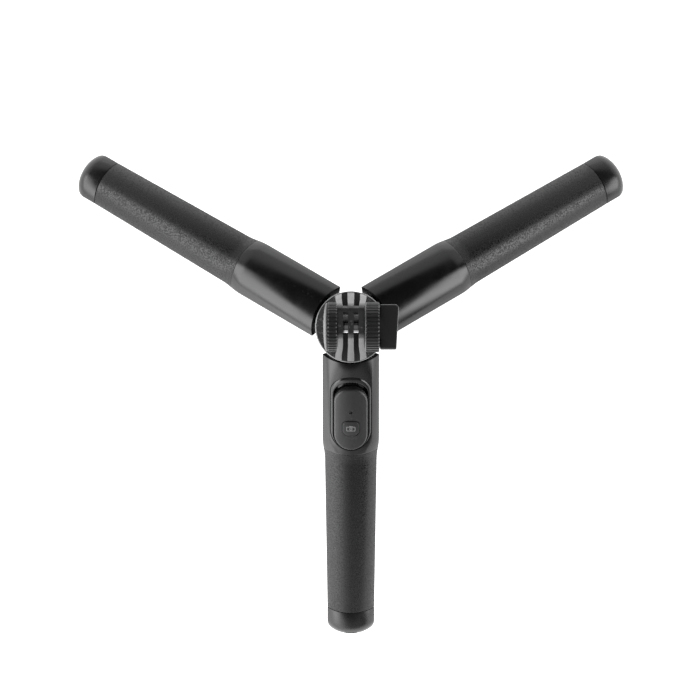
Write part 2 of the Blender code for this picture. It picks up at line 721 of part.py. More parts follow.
def build_fork(base):
    """The three-finger mount, screwed to the swivel plate from below."""
    sideways = Matrix.Translation((0, 0, BASE_TOP)) @ Matrix(
        ((0, 0, 1, 0), (1, 0, 0, 0), (0, 1, 0, 0), (0, 0, 0, 1))
    )
    width, length = 2 * FOOT_HALF_WIDTH, 2 * FORK_HALF_LENGTH
    foot = rounded(width, length, FINGER, steps=4)
    fork = prism("fork", foot, FORK_BOTTOM, BASE_TOP + FOOT_THICKNESS, "satin_black")
    side = fork_side_outline()
    for i in (-1, 0, 1):
        low = i * FINGER_PITCH - FINGER / 2
        boolean(fork, prism(f"join_finger_{i + 2}", side, low, low + FINGER, None, None,
                            sideways), "UNION")
    boolean(fork, prism("join_web", web_outline(), -FORK_SIDE + GAP, FORK_SIDE - GAP, None,
                        None, sideways), "UNION")
    trim = rod(HEAD_RADIUS - BASE_CHAMFER, BOLT_AXIS + HEAD_RADIUS, BASE_TOP)
    boolean(fork, turned("join_disc", trim, None, steps=36), "INTERSECT")
    hole = rod(BOLT_RADIUS + GAP, FORK_SIDE + GAP, -FORK_SIDE - GAP)
    boolean(fork, turned("cut_bolt", hole, None, None, along_bolt(), steps=24))
    build_fork_screws(fork, base)


def build_fork_screws(fork, base):
    head_top = BASE_BOTTOM + SCREW_HEAD_HEIGHT + GAP
    tip = FORK_BOTTOM + FORK_SCREW_DEPTH
    for i, offset in enumerate((-FORK_SCREW_OFFSET, FORK_SCREW_OFFSET), start=1):
        here = Matrix.Translation((0, offset, 0))
        seat = [
            (0, tip + GAP),
            (FORK_SCREW_RADIUS + GAP, tip + GAP),
            (FORK_SCREW_RADIUS + GAP, head_top + GAP),
            (SCREW_HEAD_RADIUS + GAP, head_top + GAP),
            (SCREW_HEAD_RADIUS + GAP, BASE_BOTTOM - SCREW_HEAD_HEIGHT),
            (0, BASE_BOTTOM - SCREW_HEAD_HEIGHT),
        ]
        cutter = turned(f"cut_fork_screw_{i}", seat, None, None, here, steps=16)
        boolean(fork, cutter)
        boolean(base, cutter)
        screw = [
            (0, tip),
            (FORK_SCREW_RADIUS, tip),
            (FORK_SCREW_RADIUS, head_top),
            (SCREW_HEAD_RADIUS, head_top),
            (SCREW_HEAD_RADIUS, BASE_BOTTOM + GAP),
            (0, BASE_BOTTOM + GAP),
        ]
        turned(f"fork_screw_{i}", screw, "steel", None, here, steps=16)


def along_bolt():
    """Places a turned piece on the bolt's axis, with its top towards +X."""
    return Matrix.Translation((0, 0, BOLT_AXIS)) @ Matrix.Rotation(pi / 2, 4, "Y")


def build_nut_side():
    """The captive nut in its knurled knob, closed by a domed cap."""
    near = -FORK_SIDE - GAP
    far = near - NUT_KNOB_WIDTH
    nut_near = near - (NUT_KNOB_WIDTH - NUT_THICKNESS) + GAP
    nut_far = nut_near - NUT_THICKNESS
    corner = NUT_FLATS / 2 / cos(pi / 6)
    bevel = BASE_CHAMFER
    profile = [
        (KNOB_RADIUS - bevel, near),
        (KNOB_RADIUS, near - bevel),
        (KNOB_RADIUS, far + bevel),
        (KNOB_RADIUS - bevel, far),
        (THREAD_RADIUS + GAP, far),
        (THREAD_RADIUS + GAP, near),
    ]
    knob = turned("nut_knob", profile, "satin_black", None, along_bolt(), steps=30)
    seat = rod(corner + GAP / cos(pi / 6), nut_near + GAP, far - GAP)
    boolean(knob, turned("cut_nut", seat, None, None, along_bolt(), steps=6))
    through = rod(BOLT_RADIUS + GAP, near + GAP, nut_near)
    boolean(knob, turned("cut_shoulder", through, None, None, along_bolt(), steps=24))
    nut = turned("hex_nut", rod(corner, nut_near, nut_far), "steel", None, along_bolt(), steps=6)
    thread = rod(THREAD_RADIUS + RUNNING, near, far)
    boolean(nut, turned("cut_thread", thread, None, None, along_bolt(), steps=24))
    rim = far - GAP
    radius = KNOB_RADIUS - bevel
    steps = 6
    crown = [
        (radius * cos(pi / 2 * i / steps), rim - GAP - DOME_HEIGHT * sin(pi / 2 * i / steps))
        for i in range(steps)
    ]
    dome = [(0, rim), (radius, rim), *crown, (0, rim - GAP - DOME_HEIGHT)]
    turned("nut_dome", dome, "remote_grey", None, along_bolt(), steps=30)
    return nut_near, nut_far


def build_thumb_side(nut_near, nut_far):
    """The shoulder bolt with its knurled thumb knob and wing, and the washer behind them."""
    near = FORK_SIDE + GAP
    far = near + THUMB_KNOB_WIDTH
    shoulder_end = nut_near + GAP
    bolt_end = near + THUMB_KNOB_WIDTH / 2
    bolt = [
        (0, bolt_end),
        (BOLT_RADIUS, bolt_end),
        (BOLT_RADIUS, shoulder_end),
        (THREAD_RADIUS, shoulder_end),
        (THREAD_RADIUS, nut_far + GAP),
        (0, nut_far + GAP),
    ]
    turned("bolt", bolt, "steel", None, along_bolt(), steps=24)
    room = CLAMP_WASHER_THICKNESS + GAP
    bevel = BASE_CHAMFER
    profile = [
        (0, far),
        (KNOB_RADIUS - bevel, far),
        (KNOB_RADIUS, far - bevel),
        (KNOB_RADIUS, near + bevel),
        (KNOB_RADIUS - bevel, near),
        (CLAMP_WASHER_RADIUS + GAP, near),
        (CLAMP_WASHER_RADIUS + GAP, near + room),
        (BOLT_RADIUS + GAP, near + room),
        (BOLT_RADIUS + GAP, bolt_end + GAP),
        (0, bolt_end + GAP),
    ]
    knob = turned("thumb_knob", profile, "satin_black", None, along_bolt(), steps=30)
    washer = ring(CLAMP_WASHER_RADIUS, BOLT_RADIUS + GAP, near + CLAMP_WASHER_THICKNESS, near)
    turned("clamp_washer", washer, "steel", None, along_bolt(), steps=24)
    build_wing(knob, far)


def build_wing(knob, far):
    """The flat wing that the thumb turns, with its tongue in the knob."""
    start, half = far + GAP, WING_WIDTH / 2
    reach = far + WING_REACH
    tongue = WING_WIDTH / 4
    root = far - WING_TONGUE
    outline = [
        (start, -half),
        (reach - WING_SLANT, -half),
        (reach, half - WING_SLANT),
        (reach - WING_SLANT, half),
        (start, half),
        (start, tongue),
        (root, tongue),
        (root, -tongue),
        (start, -tongue),
    ]
    thick = WING_THICKNESS / 2
    level = Matrix.Translation((0, 0, BOLT_AXIS))
    wing = prism("thumb_wing", outline, -thick, thick, "satin_black", None, level)
    bevel = wing.modifiers.new("edges", "BEVEL")
    bevel.width = 2 * GAP
    bevel.segments = 1
    low = (root - GAP, -tongue - GAP, -thick - GAP)
    high = (far + GAP, tongue + GAP, thick + GAP)
    boolean(knob, block("cut_tongue", low, high, None, None, level))


def main():
    build_pole()
    build_hub()
    for side, azimuth in LEG_AZIMUTHS.items():
        hinge, shell = build_leg(side, azimuth)
        if side == "front":
            build_cradle(hinge, shell)
            build_remote(hinge)
    base = build_base(build_socket())
    build_fork(base)
    build_thumb_side(*build_nut_side())


clear_scene()
PIECES = new_collection("selfie_stick")
CUTTERS = new_collection("cutters")
main()
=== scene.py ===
import json
from math import atan2, cos, pi, radians, sin, sqrt

import bpy
from mathutils import Matrix, Vector


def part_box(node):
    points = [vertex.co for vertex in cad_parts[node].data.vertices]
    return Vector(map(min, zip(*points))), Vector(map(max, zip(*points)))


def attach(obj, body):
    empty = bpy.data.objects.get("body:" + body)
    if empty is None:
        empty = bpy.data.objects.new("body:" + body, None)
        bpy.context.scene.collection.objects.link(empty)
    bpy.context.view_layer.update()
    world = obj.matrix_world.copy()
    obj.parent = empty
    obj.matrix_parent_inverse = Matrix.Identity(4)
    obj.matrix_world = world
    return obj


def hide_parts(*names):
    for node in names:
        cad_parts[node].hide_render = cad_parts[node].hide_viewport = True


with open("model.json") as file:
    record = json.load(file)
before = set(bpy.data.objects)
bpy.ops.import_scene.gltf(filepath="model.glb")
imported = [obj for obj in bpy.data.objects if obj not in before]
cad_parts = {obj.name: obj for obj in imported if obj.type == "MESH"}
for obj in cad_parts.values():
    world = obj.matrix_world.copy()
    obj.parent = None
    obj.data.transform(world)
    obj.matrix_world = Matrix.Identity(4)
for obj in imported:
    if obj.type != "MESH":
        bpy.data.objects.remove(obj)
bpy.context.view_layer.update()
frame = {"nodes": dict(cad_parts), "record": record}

# ---------------------------------------------------------------- sizes


def reach_of(name, axis):
    """Where a CAD node begins and ends along X, Y or Z."""
    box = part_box(name)
    i = "XYZ".index(axis)
    return box[0][i], box[1][i]


JOINTS = {joint["name"]: joint for joint in frame["record"]["behaviour"]["joints"]}
HINGE_RADIUS = -JOINTS["leg_front_fold"]["pos_m"][1]
HINGE_HEIGHT = JOINTS["leg_front_fold"]["pos_m"][2]
BOLT_AXIS = JOINTS["thumb_turn"]["pos_m"][2]
SPREAD = radians(JOINTS["leg_front_fold"]["range_deg"][1])
AZIMUTHS = {"front": -pi / 2, "right": radians(30), "left": radians(150)}

GAP = 0.0003
HAIR = 0.00001
PAST = 0.02                 # how far a cutter runs past what it cuts
ROUND_END = 0.49            # corner radius of a plate with round ends, as a share of its width
LEG_HALF_ANGLE = radians(58.3)
LEG_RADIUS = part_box("hub_body")[1][0]
LEG_INNER = 0.0100
LEG_LENGTH = 0.1951
LEG_TOP = 0.00563
LEG_TOP_SLOPE = 0.14
SHOULDER = 0.0613
SHOULDER_LENGTH = 0.0154
SHOULDER_STEP = 0.00155
TAPER = 0.0170
GRIP_START = 0.0687
GRIP_THICKNESS = 0.0010
CAP_START = 0.1773
CAP_ROUNDING = 0.0090
POCKET_WALL = 0.0020
POCKET_HALF_ANGLE = radians(40)
CROWN = LEG_RADIUS - HINGE_RADIUS

REMOTE_WIDTH = 0.0194
REMOTE_LENGTH = 0.0408
REMOTE_CENTRE = 0.0436
REMOTE_HEIGHT = 0.0075
REMOTE_BASE_HEIGHT = 0.0040
REMOTE_TOP = CROWN + 0.0013
REMOTE_BOTTOM = REMOTE_TOP - REMOTE_HEIGHT
REMOTE_CURVE = 0.0260
CRADLE_SIDE = 0.0021
CRADLE_HEAD = 0.0076
CRADLE_TAIL = 0.0007
CRADLE_WALL = 0.0010
REMOTE_WALL = 0.0012
SCOOP = 0.0036
BUTTON_SIZE = 0.0096
BUTTON_CENTRE = 0.0492
LED_CENTRE = 0.0387
LED_RADIUS = 0.0008

HEAD_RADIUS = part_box("swivel_base")[1][0]
BASE_BOTTOM, BASE_TOP = reach_of("swivel_base", "Z")
KNOB_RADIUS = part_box("thumb_knob")[1][1]
FINGER = 0.0033
PITCH = 0.0062
FINGER_RADIUS = 0.0083
BACK_LENGTH = 0.0126
BACK_DROP = 0.0008
FORK_END = 0.0200
FORK_SIDE = PITCH + FINGER / 2
BOLT_RADIUS = 0.0035
KNURLS = 40
THREAD_PITCH = 0.0008

PIN_RADIUS = 0.0015
PIN_HOLE = 0.0018
SLOT_HALF = 0.0052
TANG = 0.0150
TUBE_STEP = 0.0013
TUBE_WALL = 0.0008


# ---------------------------------------------------------------- modelling by hand


def deselect():
    bpy.ops.object.select_all(action="DESELECT")


def only(piece):
    deselect()
    piece.select_set(True)
    bpy.context.view_layer.objects.active = piece


def edit(piece, kind="VERT"):
    """Open edit mode on one piece, with everything selected."""
    only(piece)
    bpy.ops.object.mode_set(mode="EDIT")
    bpy.ops.mesh.select_mode(type=kind)
    bpy.ops.mesh.select_all(action="SELECT")


def done():
    bpy.ops.object.mode_set(mode="OBJECT")


def pick(piece, wanted, kind="VERT"):
    """Open edit mode with only the wanted vertices, edges or faces selected."""
    edit(piece, kind)
    bpy.ops.mesh.select_all(action="DESELECT")
    done()
    items = {"VERT": piece.data.vertices, "EDGE": piece.data.edges, "FACE": piece.data.polygons}
    for item in items[kind]:
        item.select = bool(wanted(item))
    bpy.ops.object.mode_set(mode="EDIT")


def start(kind, name, **size):
    deselect()
    getattr(bpy.ops.mesh, f"primitive_{kind}_add")(**size)
    piece = bpy.context.object
    piece.name = piece.data.name = name
    return piece


def draw(name, points, fill=False):
    """A line drawn corner by corner, by extruding one vertex, and filled if asked."""
    piece = start("plane", name, size=HAIR, location=points[0])
    edit(piece)
    bpy.ops.mesh.merge(type="CENTER")
    for here, there in zip(points, points[1:]):
        step = Vector(there) - Vector(here)
        bpy.ops.mesh.extrude_vertices_move(TRANSFORM_OT_translate={"value": step})
    bpy.ops.mesh.select_all(action="SELECT")
    if fill:
        bpy.ops.mesh.edge_face_add()
    done()
    settle(piece)
    return piece


def settle(piece):
    only(piece)
    bpy.ops.object.transform_apply(location=True, rotation=True, scale=True)


def mend(piece):
    """Merge doubles and turn every face outwards."""
    edit(piece)
    bpy.ops.mesh.remove_doubles(threshold=HAIR / 10)
    bpy.ops.mesh.normals_make_consistent(inside=False)
    done()


def turned(name, outline, steps=96):
    """Spin a (radius, height) outline about Z. It ends on the axis, or closes on itself."""
    points = [(radius, 0, height) for radius, height in outline]
    if outline[0][0] > 0:
        points.append(points[0])
    piece = draw(name, points)
    edit(piece)
    bpy.ops.mesh.remove_doubles(threshold=HAIR / 10)
    bpy.ops.mesh.spin(steps=steps, angle=2 * pi, center=(0, 0, 0), axis=(0, 0, 1))
    done()
    mend(piece)
    return piece


def ring(outer, inner, top, bottom):
    return [(outer, top), (outer, bottom), (inner, bottom), (inner, top)]


def rod(radius, top, bottom):
    return [(0, top), (radius, top), (radius, bottom), (0, bottom)]


def swept(name, outline, half_angle, steps=56):
    """Sweep a (radius, distance down) outline about the pole, as it lies in a folded leg."""
    first = Matrix.Rotation(-half_angle, 3, "Z")
    centre = Vector((-HINGE_RADIUS, 0, 0))
    points = [centre + first @ Vector((radius, 0, -down)) for radius, down in outline]
    piece = draw(name, points, fill=True)
    edit(piece)
    bpy.ops.mesh.spin(steps=steps, angle=2 * half_angle, center=centre, axis=(0, 0, -1))
    done()
    mend(piece)
    return piece


def raised(name, outline, low, high):
    """Extrude a flat (x, y) outline along Z."""
    piece = draw(name, [(x, y, low) for x, y in outline], fill=True)
    edit(piece)
    bpy.ops.mesh.extrude_region_move(TRANSFORM_OT_translate={"value": (0, 0, high - low)})
    done()
    mend(piece)
    return piece


def slot_shape(name, width, length, radius, centre, low, high, segments=24):
    """A plate with round corners, from a plane whose corners are bevelled."""
    piece = start("plane", name, size=1)
    edit(piece)
    bpy.ops.transform.resize(value=(width, length, 1))
    bpy.ops.mesh.bevel(affect="VERTICES", offset=radius, segments=segments)
    bpy.ops.transform.translate(value=(centre[0], centre[1], low))
    bpy.ops.mesh.select_all(action="SELECT")
    bpy.ops.mesh.extrude_region_move(TRANSFORM_OT_translate={"value": (0, 0, high - low)})
    done()
    mend(piece)
    return piece


def rolled_up(width, length, centre, radius, steps, side):
    """Raise the picked face while its edge curves inward (side -1) or outward (1)."""
    raised_by, moved = 0.0, 0.0
    for i in range(1, steps + 1):
        angle = pi / 2 * i / steps
        rise, move = radius * sin(angle), side * radius * (1 - cos(angle))
        step = {"value": (0, 0, rise - raised_by)}
        bpy.ops.mesh.extrude_region_move(TRANSFORM_OT_translate=step)
        across = (width + 2 * move) / (width + 2 * moved)
        along = (length + 2 * move) / (length + 2 * moved)
        bpy.ops.transform.resize(value=(across, along, 1), center_override=(*centre, 0))
        raised_by, moved = rise, move


def shouldered(name, width, length, corner, centre, low, high, shoulder, steps=7):
    """A slot-shaped plate whose upper edge is rounded over, by raising and drawing in."""
    piece = slot_shape(name, width, length, corner, centre, low, high - shoulder)
    top = high - shoulder
    pick(piece, lambda face: face.normal.z > 0.9 and face.center.z > top - HAIR, "FACE")
    rolled_up(width, length, centre, shoulder, steps, -1)
    done()
    return piece


def saddled(piece, radius, above, half_width, slices=24):
    """Slice a piece lengthwise, then let all of it above a height follow a long arch."""
    for i in range(1, slices):
        edit(piece)
        place = half_width * (2 * i / slices - 1)
        bpy.ops.mesh.bisect(plane_co=(place, 0, 0), plane_no=(1, 0, 0))
        done()
    for vertex in piece.data.vertices:
        if vertex.co.z > above:
            vertex.co.z -= radius - sqrt(radius**2 - vertex.co.x**2)
    return piece


def stand(piece, matrix):
    """Put a piece in its place and bake that into its mesh."""
    piece.matrix_world = matrix
    settle(piece)
    return piece


def applied(piece, kind, **settings):
    modifier = piece.modifiers.new(kind.lower(), kind)
    for key, value in settings.items():
        setattr(modifier, key, value)
    only(piece)
    bpy.ops.object.modifier_apply(modifier=modifier.name)


def cut(piece, other, operation="DIFFERENCE"):
    applied(piece, "BOOLEAN", object=other, operation=operation)
    bpy.data.objects.remove(other)


def soften(piece, width, segments=3, angle=32):
    """Round the sharp edges and shade the rest smooth."""
    applied(piece, "BEVEL", width=width, segments=segments, limit_method="ANGLE",
            angle_limit=radians(angle), harden_normals=False, use_clamp_overlap=True,
            miter_outer="MITER_ARC")
    shade(piece)


def shade(piece, angle=38):
    only(piece)
    bpy.ops.object.shade_smooth_by_angle(angle=radians(angle))


def copied(piece, name):
    only(piece)
    bpy.ops.object.duplicate(linked=False)
    copy = bpy.context.object
    copy.name = copy.data.name = name
    return copy


def arc(centre, radius, first, last, steps):
    angles = [first + (last - first) * i / steps for i in range(steps + 1)]
    return [(centre[0] + radius * cos(a), centre[1] + radius * sin(a)) for a in angles]


def finish(piece, body, finish_name, slot, *nodes):
    """Give a piece its material and its body, and hide the CAD nodes it stands for. The slot is
    not used.
    """
    piece.data.materials.clear()
    piece.data.materials.append(finish_called(finish_name))
    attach(piece, body)
    if nodes:
        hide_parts(*nodes)
    return piece


# ---------------------------------------------------------------- shared effects


def wire(tree, source, target):
    tree.links.new(source, target)


def node(tree, kind, **settings):
    made = tree.nodes.new(kind)
    for key, value in settings.items():
        setattr(made, key, value)
    return made


def maths(tree, operation, first, second=None, third=None):
    made = node(tree, "ShaderNodeMath", operation=operation)
    for socket, value in zip(made.inputs, (first, second, third)):
        if value is None:
            continue
        if isinstance(value, (int, float)):
            socket.default_value = value
        else:
            wire(tree, value, socket)
    return made.outputs[0]


def span(tree, value, low, high, to_low=0.0, to_high=1.0):
    made = node(tree, "ShaderNodeMapRange")
    made.inputs["From Min"].default_value = low
    made.inputs["From Max"].default_value = high
    made.inputs["To Min"].default_value = to_low
    made.inputs["To Max"].default_value = to_high
    wire(tree, value, made.inputs["Value"])
    return made.outputs["Result"]


def noise(tree, place, scale, detail=2.0, roughness=0.5):
    made = node(tree, "ShaderNodeTexNoise")
    made.inputs["Detail"].default_value = detail
    made.inputs["Roughness"].default_value = roughness
    wire(tree, place, made.inputs["Vector"])
    if isinstance(scale, (int, float)):
        made.inputs["Scale"].default_value = scale
    else:
        wire(tree, scale, made.inputs["Scale"])
    return made.outputs["Fac"]


def effect(name, inputs, outputs):
    """A new node group, with its input and output nodes."""
    group = bpy.data.node_groups.new(name, "ShaderNodeTree")
    for label, kind, value in inputs:
        socket = group.interface.new_socket(label, in_out="INPUT", socket_type=kind)
        if value is not None:
            socket.default_value = value
    for label in outputs:
        group.interface.new_socket(label, in_out="OUTPUT", socket_type="NodeSocketFloat")
    return group, node(group, "NodeGroupInput"), node(group, "NodeGroupOutput")


def make_moulded_grain():
    """Spark-eroded mould texture, with slow waves where the wall has sunk a little."""
    group, given, out = effect(
        "moulded_grain",
        [("Vector", "NodeSocketVector", None), ("Grain", "NodeSocketFloat", 4000.0)],
        ["Height", "Waves"],
    )
    fine = noise(group, given.outputs["Vector"], given.outputs["Grain"], 3.0, 0.6)
    slow = noise(group, given.outputs["Vector"], 55.0, 1.0)
    wire(group, fine, out.inputs["Height"])
    wire(group, slow, out.inputs["Waves"])
    return group


def make_edge_wear_and_highlight():
    """Sharp convex places, broken up by noise: rubbed corners, and on the fork and head
    finishes a painted highlight along the edges.
    """
    group, given, out = effect(
        "edge_wear_and_highlight",
        [("Vector", "NodeSocketVector", None), ("Spread", "NodeSocketFloat", 0.56)],
        ["Mask"],
    )
    corner = node(group, "ShaderNodeNewGeometry").outputs["Pointiness"]
    broken = noise(group, given.outputs["Vector"], 420.0, 4.0, 0.65)
    edge = span(group, corner, 0.545, 0.62)
    patch = maths(group, "GREATER_THAN", broken, given.outputs["Spread"])
    wire(group, maths(group, "MULTIPLY", edge, patch), out.inputs["Mask"])
    return group


def make_handling():
    """Faint finger smears and a few specks of dust."""
    group, given, out = effect(
        "handling", [("Vector", "NodeSocketVector", None)], ["Smears", "Dust"]
    )
    smears = noise(group, given.outputs["Vector"], 95.0, 3.0, 0.6)
    cells = node(group, "ShaderNodeTexVoronoi", feature="F1")
    cells.inputs["Scale"].default_value = 420.0
    wire(group, given.outputs["Vector"], cells.inputs["Vector"])
    speck = maths(group, "LESS_THAN", cells.outputs["Distance"], 0.045)
    rare = maths(group, "GREATER_THAN", noise(group, given.outputs["Vector"], 160.0), 0.60)
    wire(group, span(group, smears, 0.35, 0.75), out.inputs["Smears"])
    wire(group, maths(group, "MULTIPLY", speck, rare), out.inputs["Dust"])
    return group


def make_leather_hatch():
    """Embossed grip skin: two sets of slanting wrinkles that cross, over small pebbles."""
    group, given, out = effect(
        "leather_hatch",
        [("Vector", "NodeSocketVector", None), ("Pitch", "NodeSocketFloat", 0.0011)],
        ["Height", "Valleys"],
    )
    place = given.outputs["Vector"]
    per_metre = maths(group, "DIVIDE", 1.0, given.outputs["Pitch"])
    warp = noise(group, place, maths(group, "MULTIPLY", per_metre, 0.55), 2.0)
    apart = node(group, "ShaderNodeSeparateXYZ")
    wire(group, place, apart.inputs["Vector"])
    around = maths(group, "MULTIPLY", apart.outputs["X"], per_metre)
    along = maths(group, "MULTIPLY", apart.outputs["Y"], per_metre)
    shift = span(group, warp, 0.3, 0.7, -0.55, 0.55)
    ridges = []
    for slant in (1.0, -1.0):
        across = maths(group, "MULTIPLY_ADD", around, slant, along)
        moved = maths(group, "ADD", across, shift)
        wave = maths(group, "SINE", maths(group, "MULTIPLY", moved, pi))
        ridges.append(maths(group, "ABSOLUTE", wave))
    hatch = maths(group, "MULTIPLY", ridges[0], ridges[1])
    pebbles = node(group, "ShaderNodeTexVoronoi", feature="SMOOTH_F1")
    wire(group, place, pebbles.inputs["Vector"])
    wire(group, maths(group, "MULTIPLY", per_metre, 1.6), pebbles.inputs["Scale"])
    grain = maths(group, "SUBTRACT", 1.0, pebbles.outputs["Distance"])
    height = maths(group, "MULTIPLY_ADD", hatch, 0.6, maths(group, "MULTIPLY", grain, 0.4))
    wire(group, height, out.inputs["Height"])
    wire(group, span(group, height, 0.25, 0.60, 1.0, 0.0), out.inputs["Valleys"])
    return group


def make_drawn_lines():
    """Fine lines left by drawing a tube along Z or by turning a piece about X or Z."""
    group, given, out = effect(
        "drawn_lines",
        [("Vector", "NodeSocketVector", None), ("Stretch", "NodeSocketVector", None)],
        ["Height"],
    )
    long = node(group, "ShaderNodeVectorMath", operation="MULTIPLY")
    wire(group, given.outputs["Vector"], long.inputs[0])
    wire(group, given.outputs["Stretch"], long.inputs[1])
    wire(group, noise(group, long.outputs["Vector"], 1.0, 3.0, 0.6), out.inputs["Height"])
    return group


EFFECTS = {
    "moulded_grain": make_moulded_grain(),
    "edge_wear_and_highlight": make_edge_wear_and_highlight(),
    "handling": make_handling(),
    "leather_hatch": make_leather_hatch(),
    "drawn_lines": make_drawn_lines(),
}


# ---------------------------------------------------------------- finishes


def placed(tree, name, vector, **values):
    """An effect in a material, fed with its vector and its own values."""
    made = node(tree, "ShaderNodeGroup", node_tree=EFFECTS[name])
    wire(tree, vector, made.inputs["Vector"])
    for label, value in values.items():
        made.inputs[label].default_value = value
    return made.outputs


def new_finish(name):
    made = bpy.data.materials.new(name)
    made.use_nodes = True
    tree = made.node_tree
    shader = tree.nodes["Principled BSDF"]
    return made, tree, shader, node(tree, "ShaderNodeTexCoord").outputs


def mixed(tree, mask, plain, marked):
    """A colour that goes from plain to marked where the mask is high."""
    made = node(tree, "ShaderNodeMix", data_type="RGBA")
    made.inputs["A"].default_value = (*plain, 1)
    made.inputs["B"].default_value = (*marked, 1)
    wire(tree, mask, made.inputs["Factor"])
    return made.outputs["Result"]


def bumped(tree, shader, height, distance, strength=1.0, under=None):
    made = node(tree, "ShaderNodeBump")
    made.inputs["Distance"].default_value = distance
    made.inputs["Strength"].default_value = strength
    wire(tree, height, made.inputs["Height"])
    if under is not None:
        wire(tree, under, made.inputs["Normal"])
    wire(tree, made.outputs["Normal"], shader.inputs["Normal"])
    return made.outputs["Normal"]


def plastic(name, colour, worn_and_highlight, roughness, grain, depth, ior=1.50):
    """Moulded plastic: grain in the bump, smears in the gloss, dust, and lighter edges that are
    rubbed wear and, on the fork and head, a painted highlight.
    """
    if name in bpy.data.materials:
        return bpy.data.materials[name]
    made, tree, shader, coords = new_finish(name)
    place = coords["Object"]
    skin = placed(tree, "moulded_grain", place, Grain=grain)
    wear_and_highlight = placed(tree, "edge_wear_and_highlight", place)["Mask"]
    marks = placed(tree, "handling", place)
    # Lighter colour on the sharp edges and dust specks: rubbed wear and dust, and a painted
    # highlight where the edge colour is light (fork, head).
    mask = maths(tree, "MAXIMUM", maths(tree, "MULTIPLY", wear_and_highlight, 0.5),
                 maths(tree, "MULTIPLY", marks["Dust"], 0.35))
    tinted = mixed(tree, mask, colour, worn_and_highlight)
    wire(tree, tinted, shader.inputs["Base Color"])
    rough = span(tree, marks["Smears"], 0.0, 1.0, roughness - 0.03, roughness + 0.05)
    rough = maths(tree, "ADD", rough, span(tree, skin["Height"], 0.3, 0.7, -0.02, 0.02))
    wire(tree, rough, shader.inputs["Roughness"])
    fine = bumped(tree, shader, skin["Height"], depth)
    bumped(tree, shader, skin["Waves"], 0.00004, 0.5, fine)
    shader.inputs["IOR"].default_value = ior
    return made


def grip_skin():
    """The leather-like sleeve. Its pattern follows the leg through its own UV map."""
    name = "grip_leather_skin"
    if name in bpy.data.materials:
        return bpy.data.materials[name]
    made, tree, shader, coords = new_finish(name)
    hatch = placed(tree, "leather_hatch", coords["UV"], Pitch=0.0013)
    wear_and_highlight = placed(tree, "edge_wear_and_highlight", coords["Object"])["Mask"]
    marks = placed(tree, "handling", coords["Object"])
    grain = placed(tree, "moulded_grain", coords["Object"], Grain=4500.0)
    pits = span(tree, noise(tree, coords["Object"], 1100.0, 2.0, 0.6), 0.42, 0.58)
    # The hatch valleys are painted darker: painted shade in the creases. The pits are random
    # darker, rougher spots.
    dark = maths(tree, "MAXIMUM", maths(tree, "MULTIPLY", hatch["Valleys"], 0.8), pits)
    skin = mixed(tree, dark, (0.013, 0.013, 0.0135), (0.0015, 0.0015, 0.0015))
    dusted = node(tree, "ShaderNodeMix", data_type="RGBA")
    wire(tree, skin, dusted.inputs["A"])
    dusted.inputs["B"].default_value = (0.06, 0.06, 0.06, 1)
    mask = maths(tree, "MAXIMUM", maths(tree, "MULTIPLY", wear_and_highlight, 0.4),
                 maths(tree, "MULTIPLY", marks["Dust"], 0.3))
    wire(tree, mask, dusted.inputs["Factor"])
    wire(tree, dusted.outputs["Result"], shader.inputs["Base Color"])
    rough = maths(tree, "ADD", span(tree, hatch["Valleys"], 0.0, 1.0, 0.17, 0.22),
                  maths(tree, "MULTIPLY", pits, 0.30))
    wire(tree, rough, shader.inputs["Roughness"])
    shader.inputs["Specular IOR Level"].default_value = 0.40
    fine = bumped(tree, shader, grain["Height"], 0.000012)
    bumped(tree, shader, hatch["Height"], 0.000022, 1.0, fine)
    shader.inputs["IOR"].default_value = 1.50
    return made


def metal(name, colour, roughness, stretch, depth, rubbed=0.6):
    """Metal with the fine lines of drawing or turning, and a few smears."""
    if name in bpy.data.materials:
        return bpy.data.materials[name]
    made, tree, shader, coords = new_finish(name)
    place = coords["Object"]
    lines = placed(tree, "drawn_lines", place, Stretch=stretch)["Height"]
    marks = placed(tree, "handling", place)
    wear_and_highlight = placed(tree, "edge_wear_and_highlight", place)["Mask"]
    bright = tuple(min(1.0, 0.25 + value) for value in colour)
    wire(tree, mixed(tree, maths(tree, "MULTIPLY", wear_and_highlight, rubbed), colour, bright),
         shader.inputs["Base Color"])
    rough = span(tree, lines, 0.3, 0.7, roughness - 0.05, roughness + 0.05)
    rough = maths(tree, "ADD", rough, maths(tree, "MULTIPLY", marks["Smears"], 0.05))
    wire(tree, rough, shader.inputs["Roughness"])
    bumped(tree, shader, lines, depth)
    shader.inputs["Metallic"].default_value = 1.0
    return made


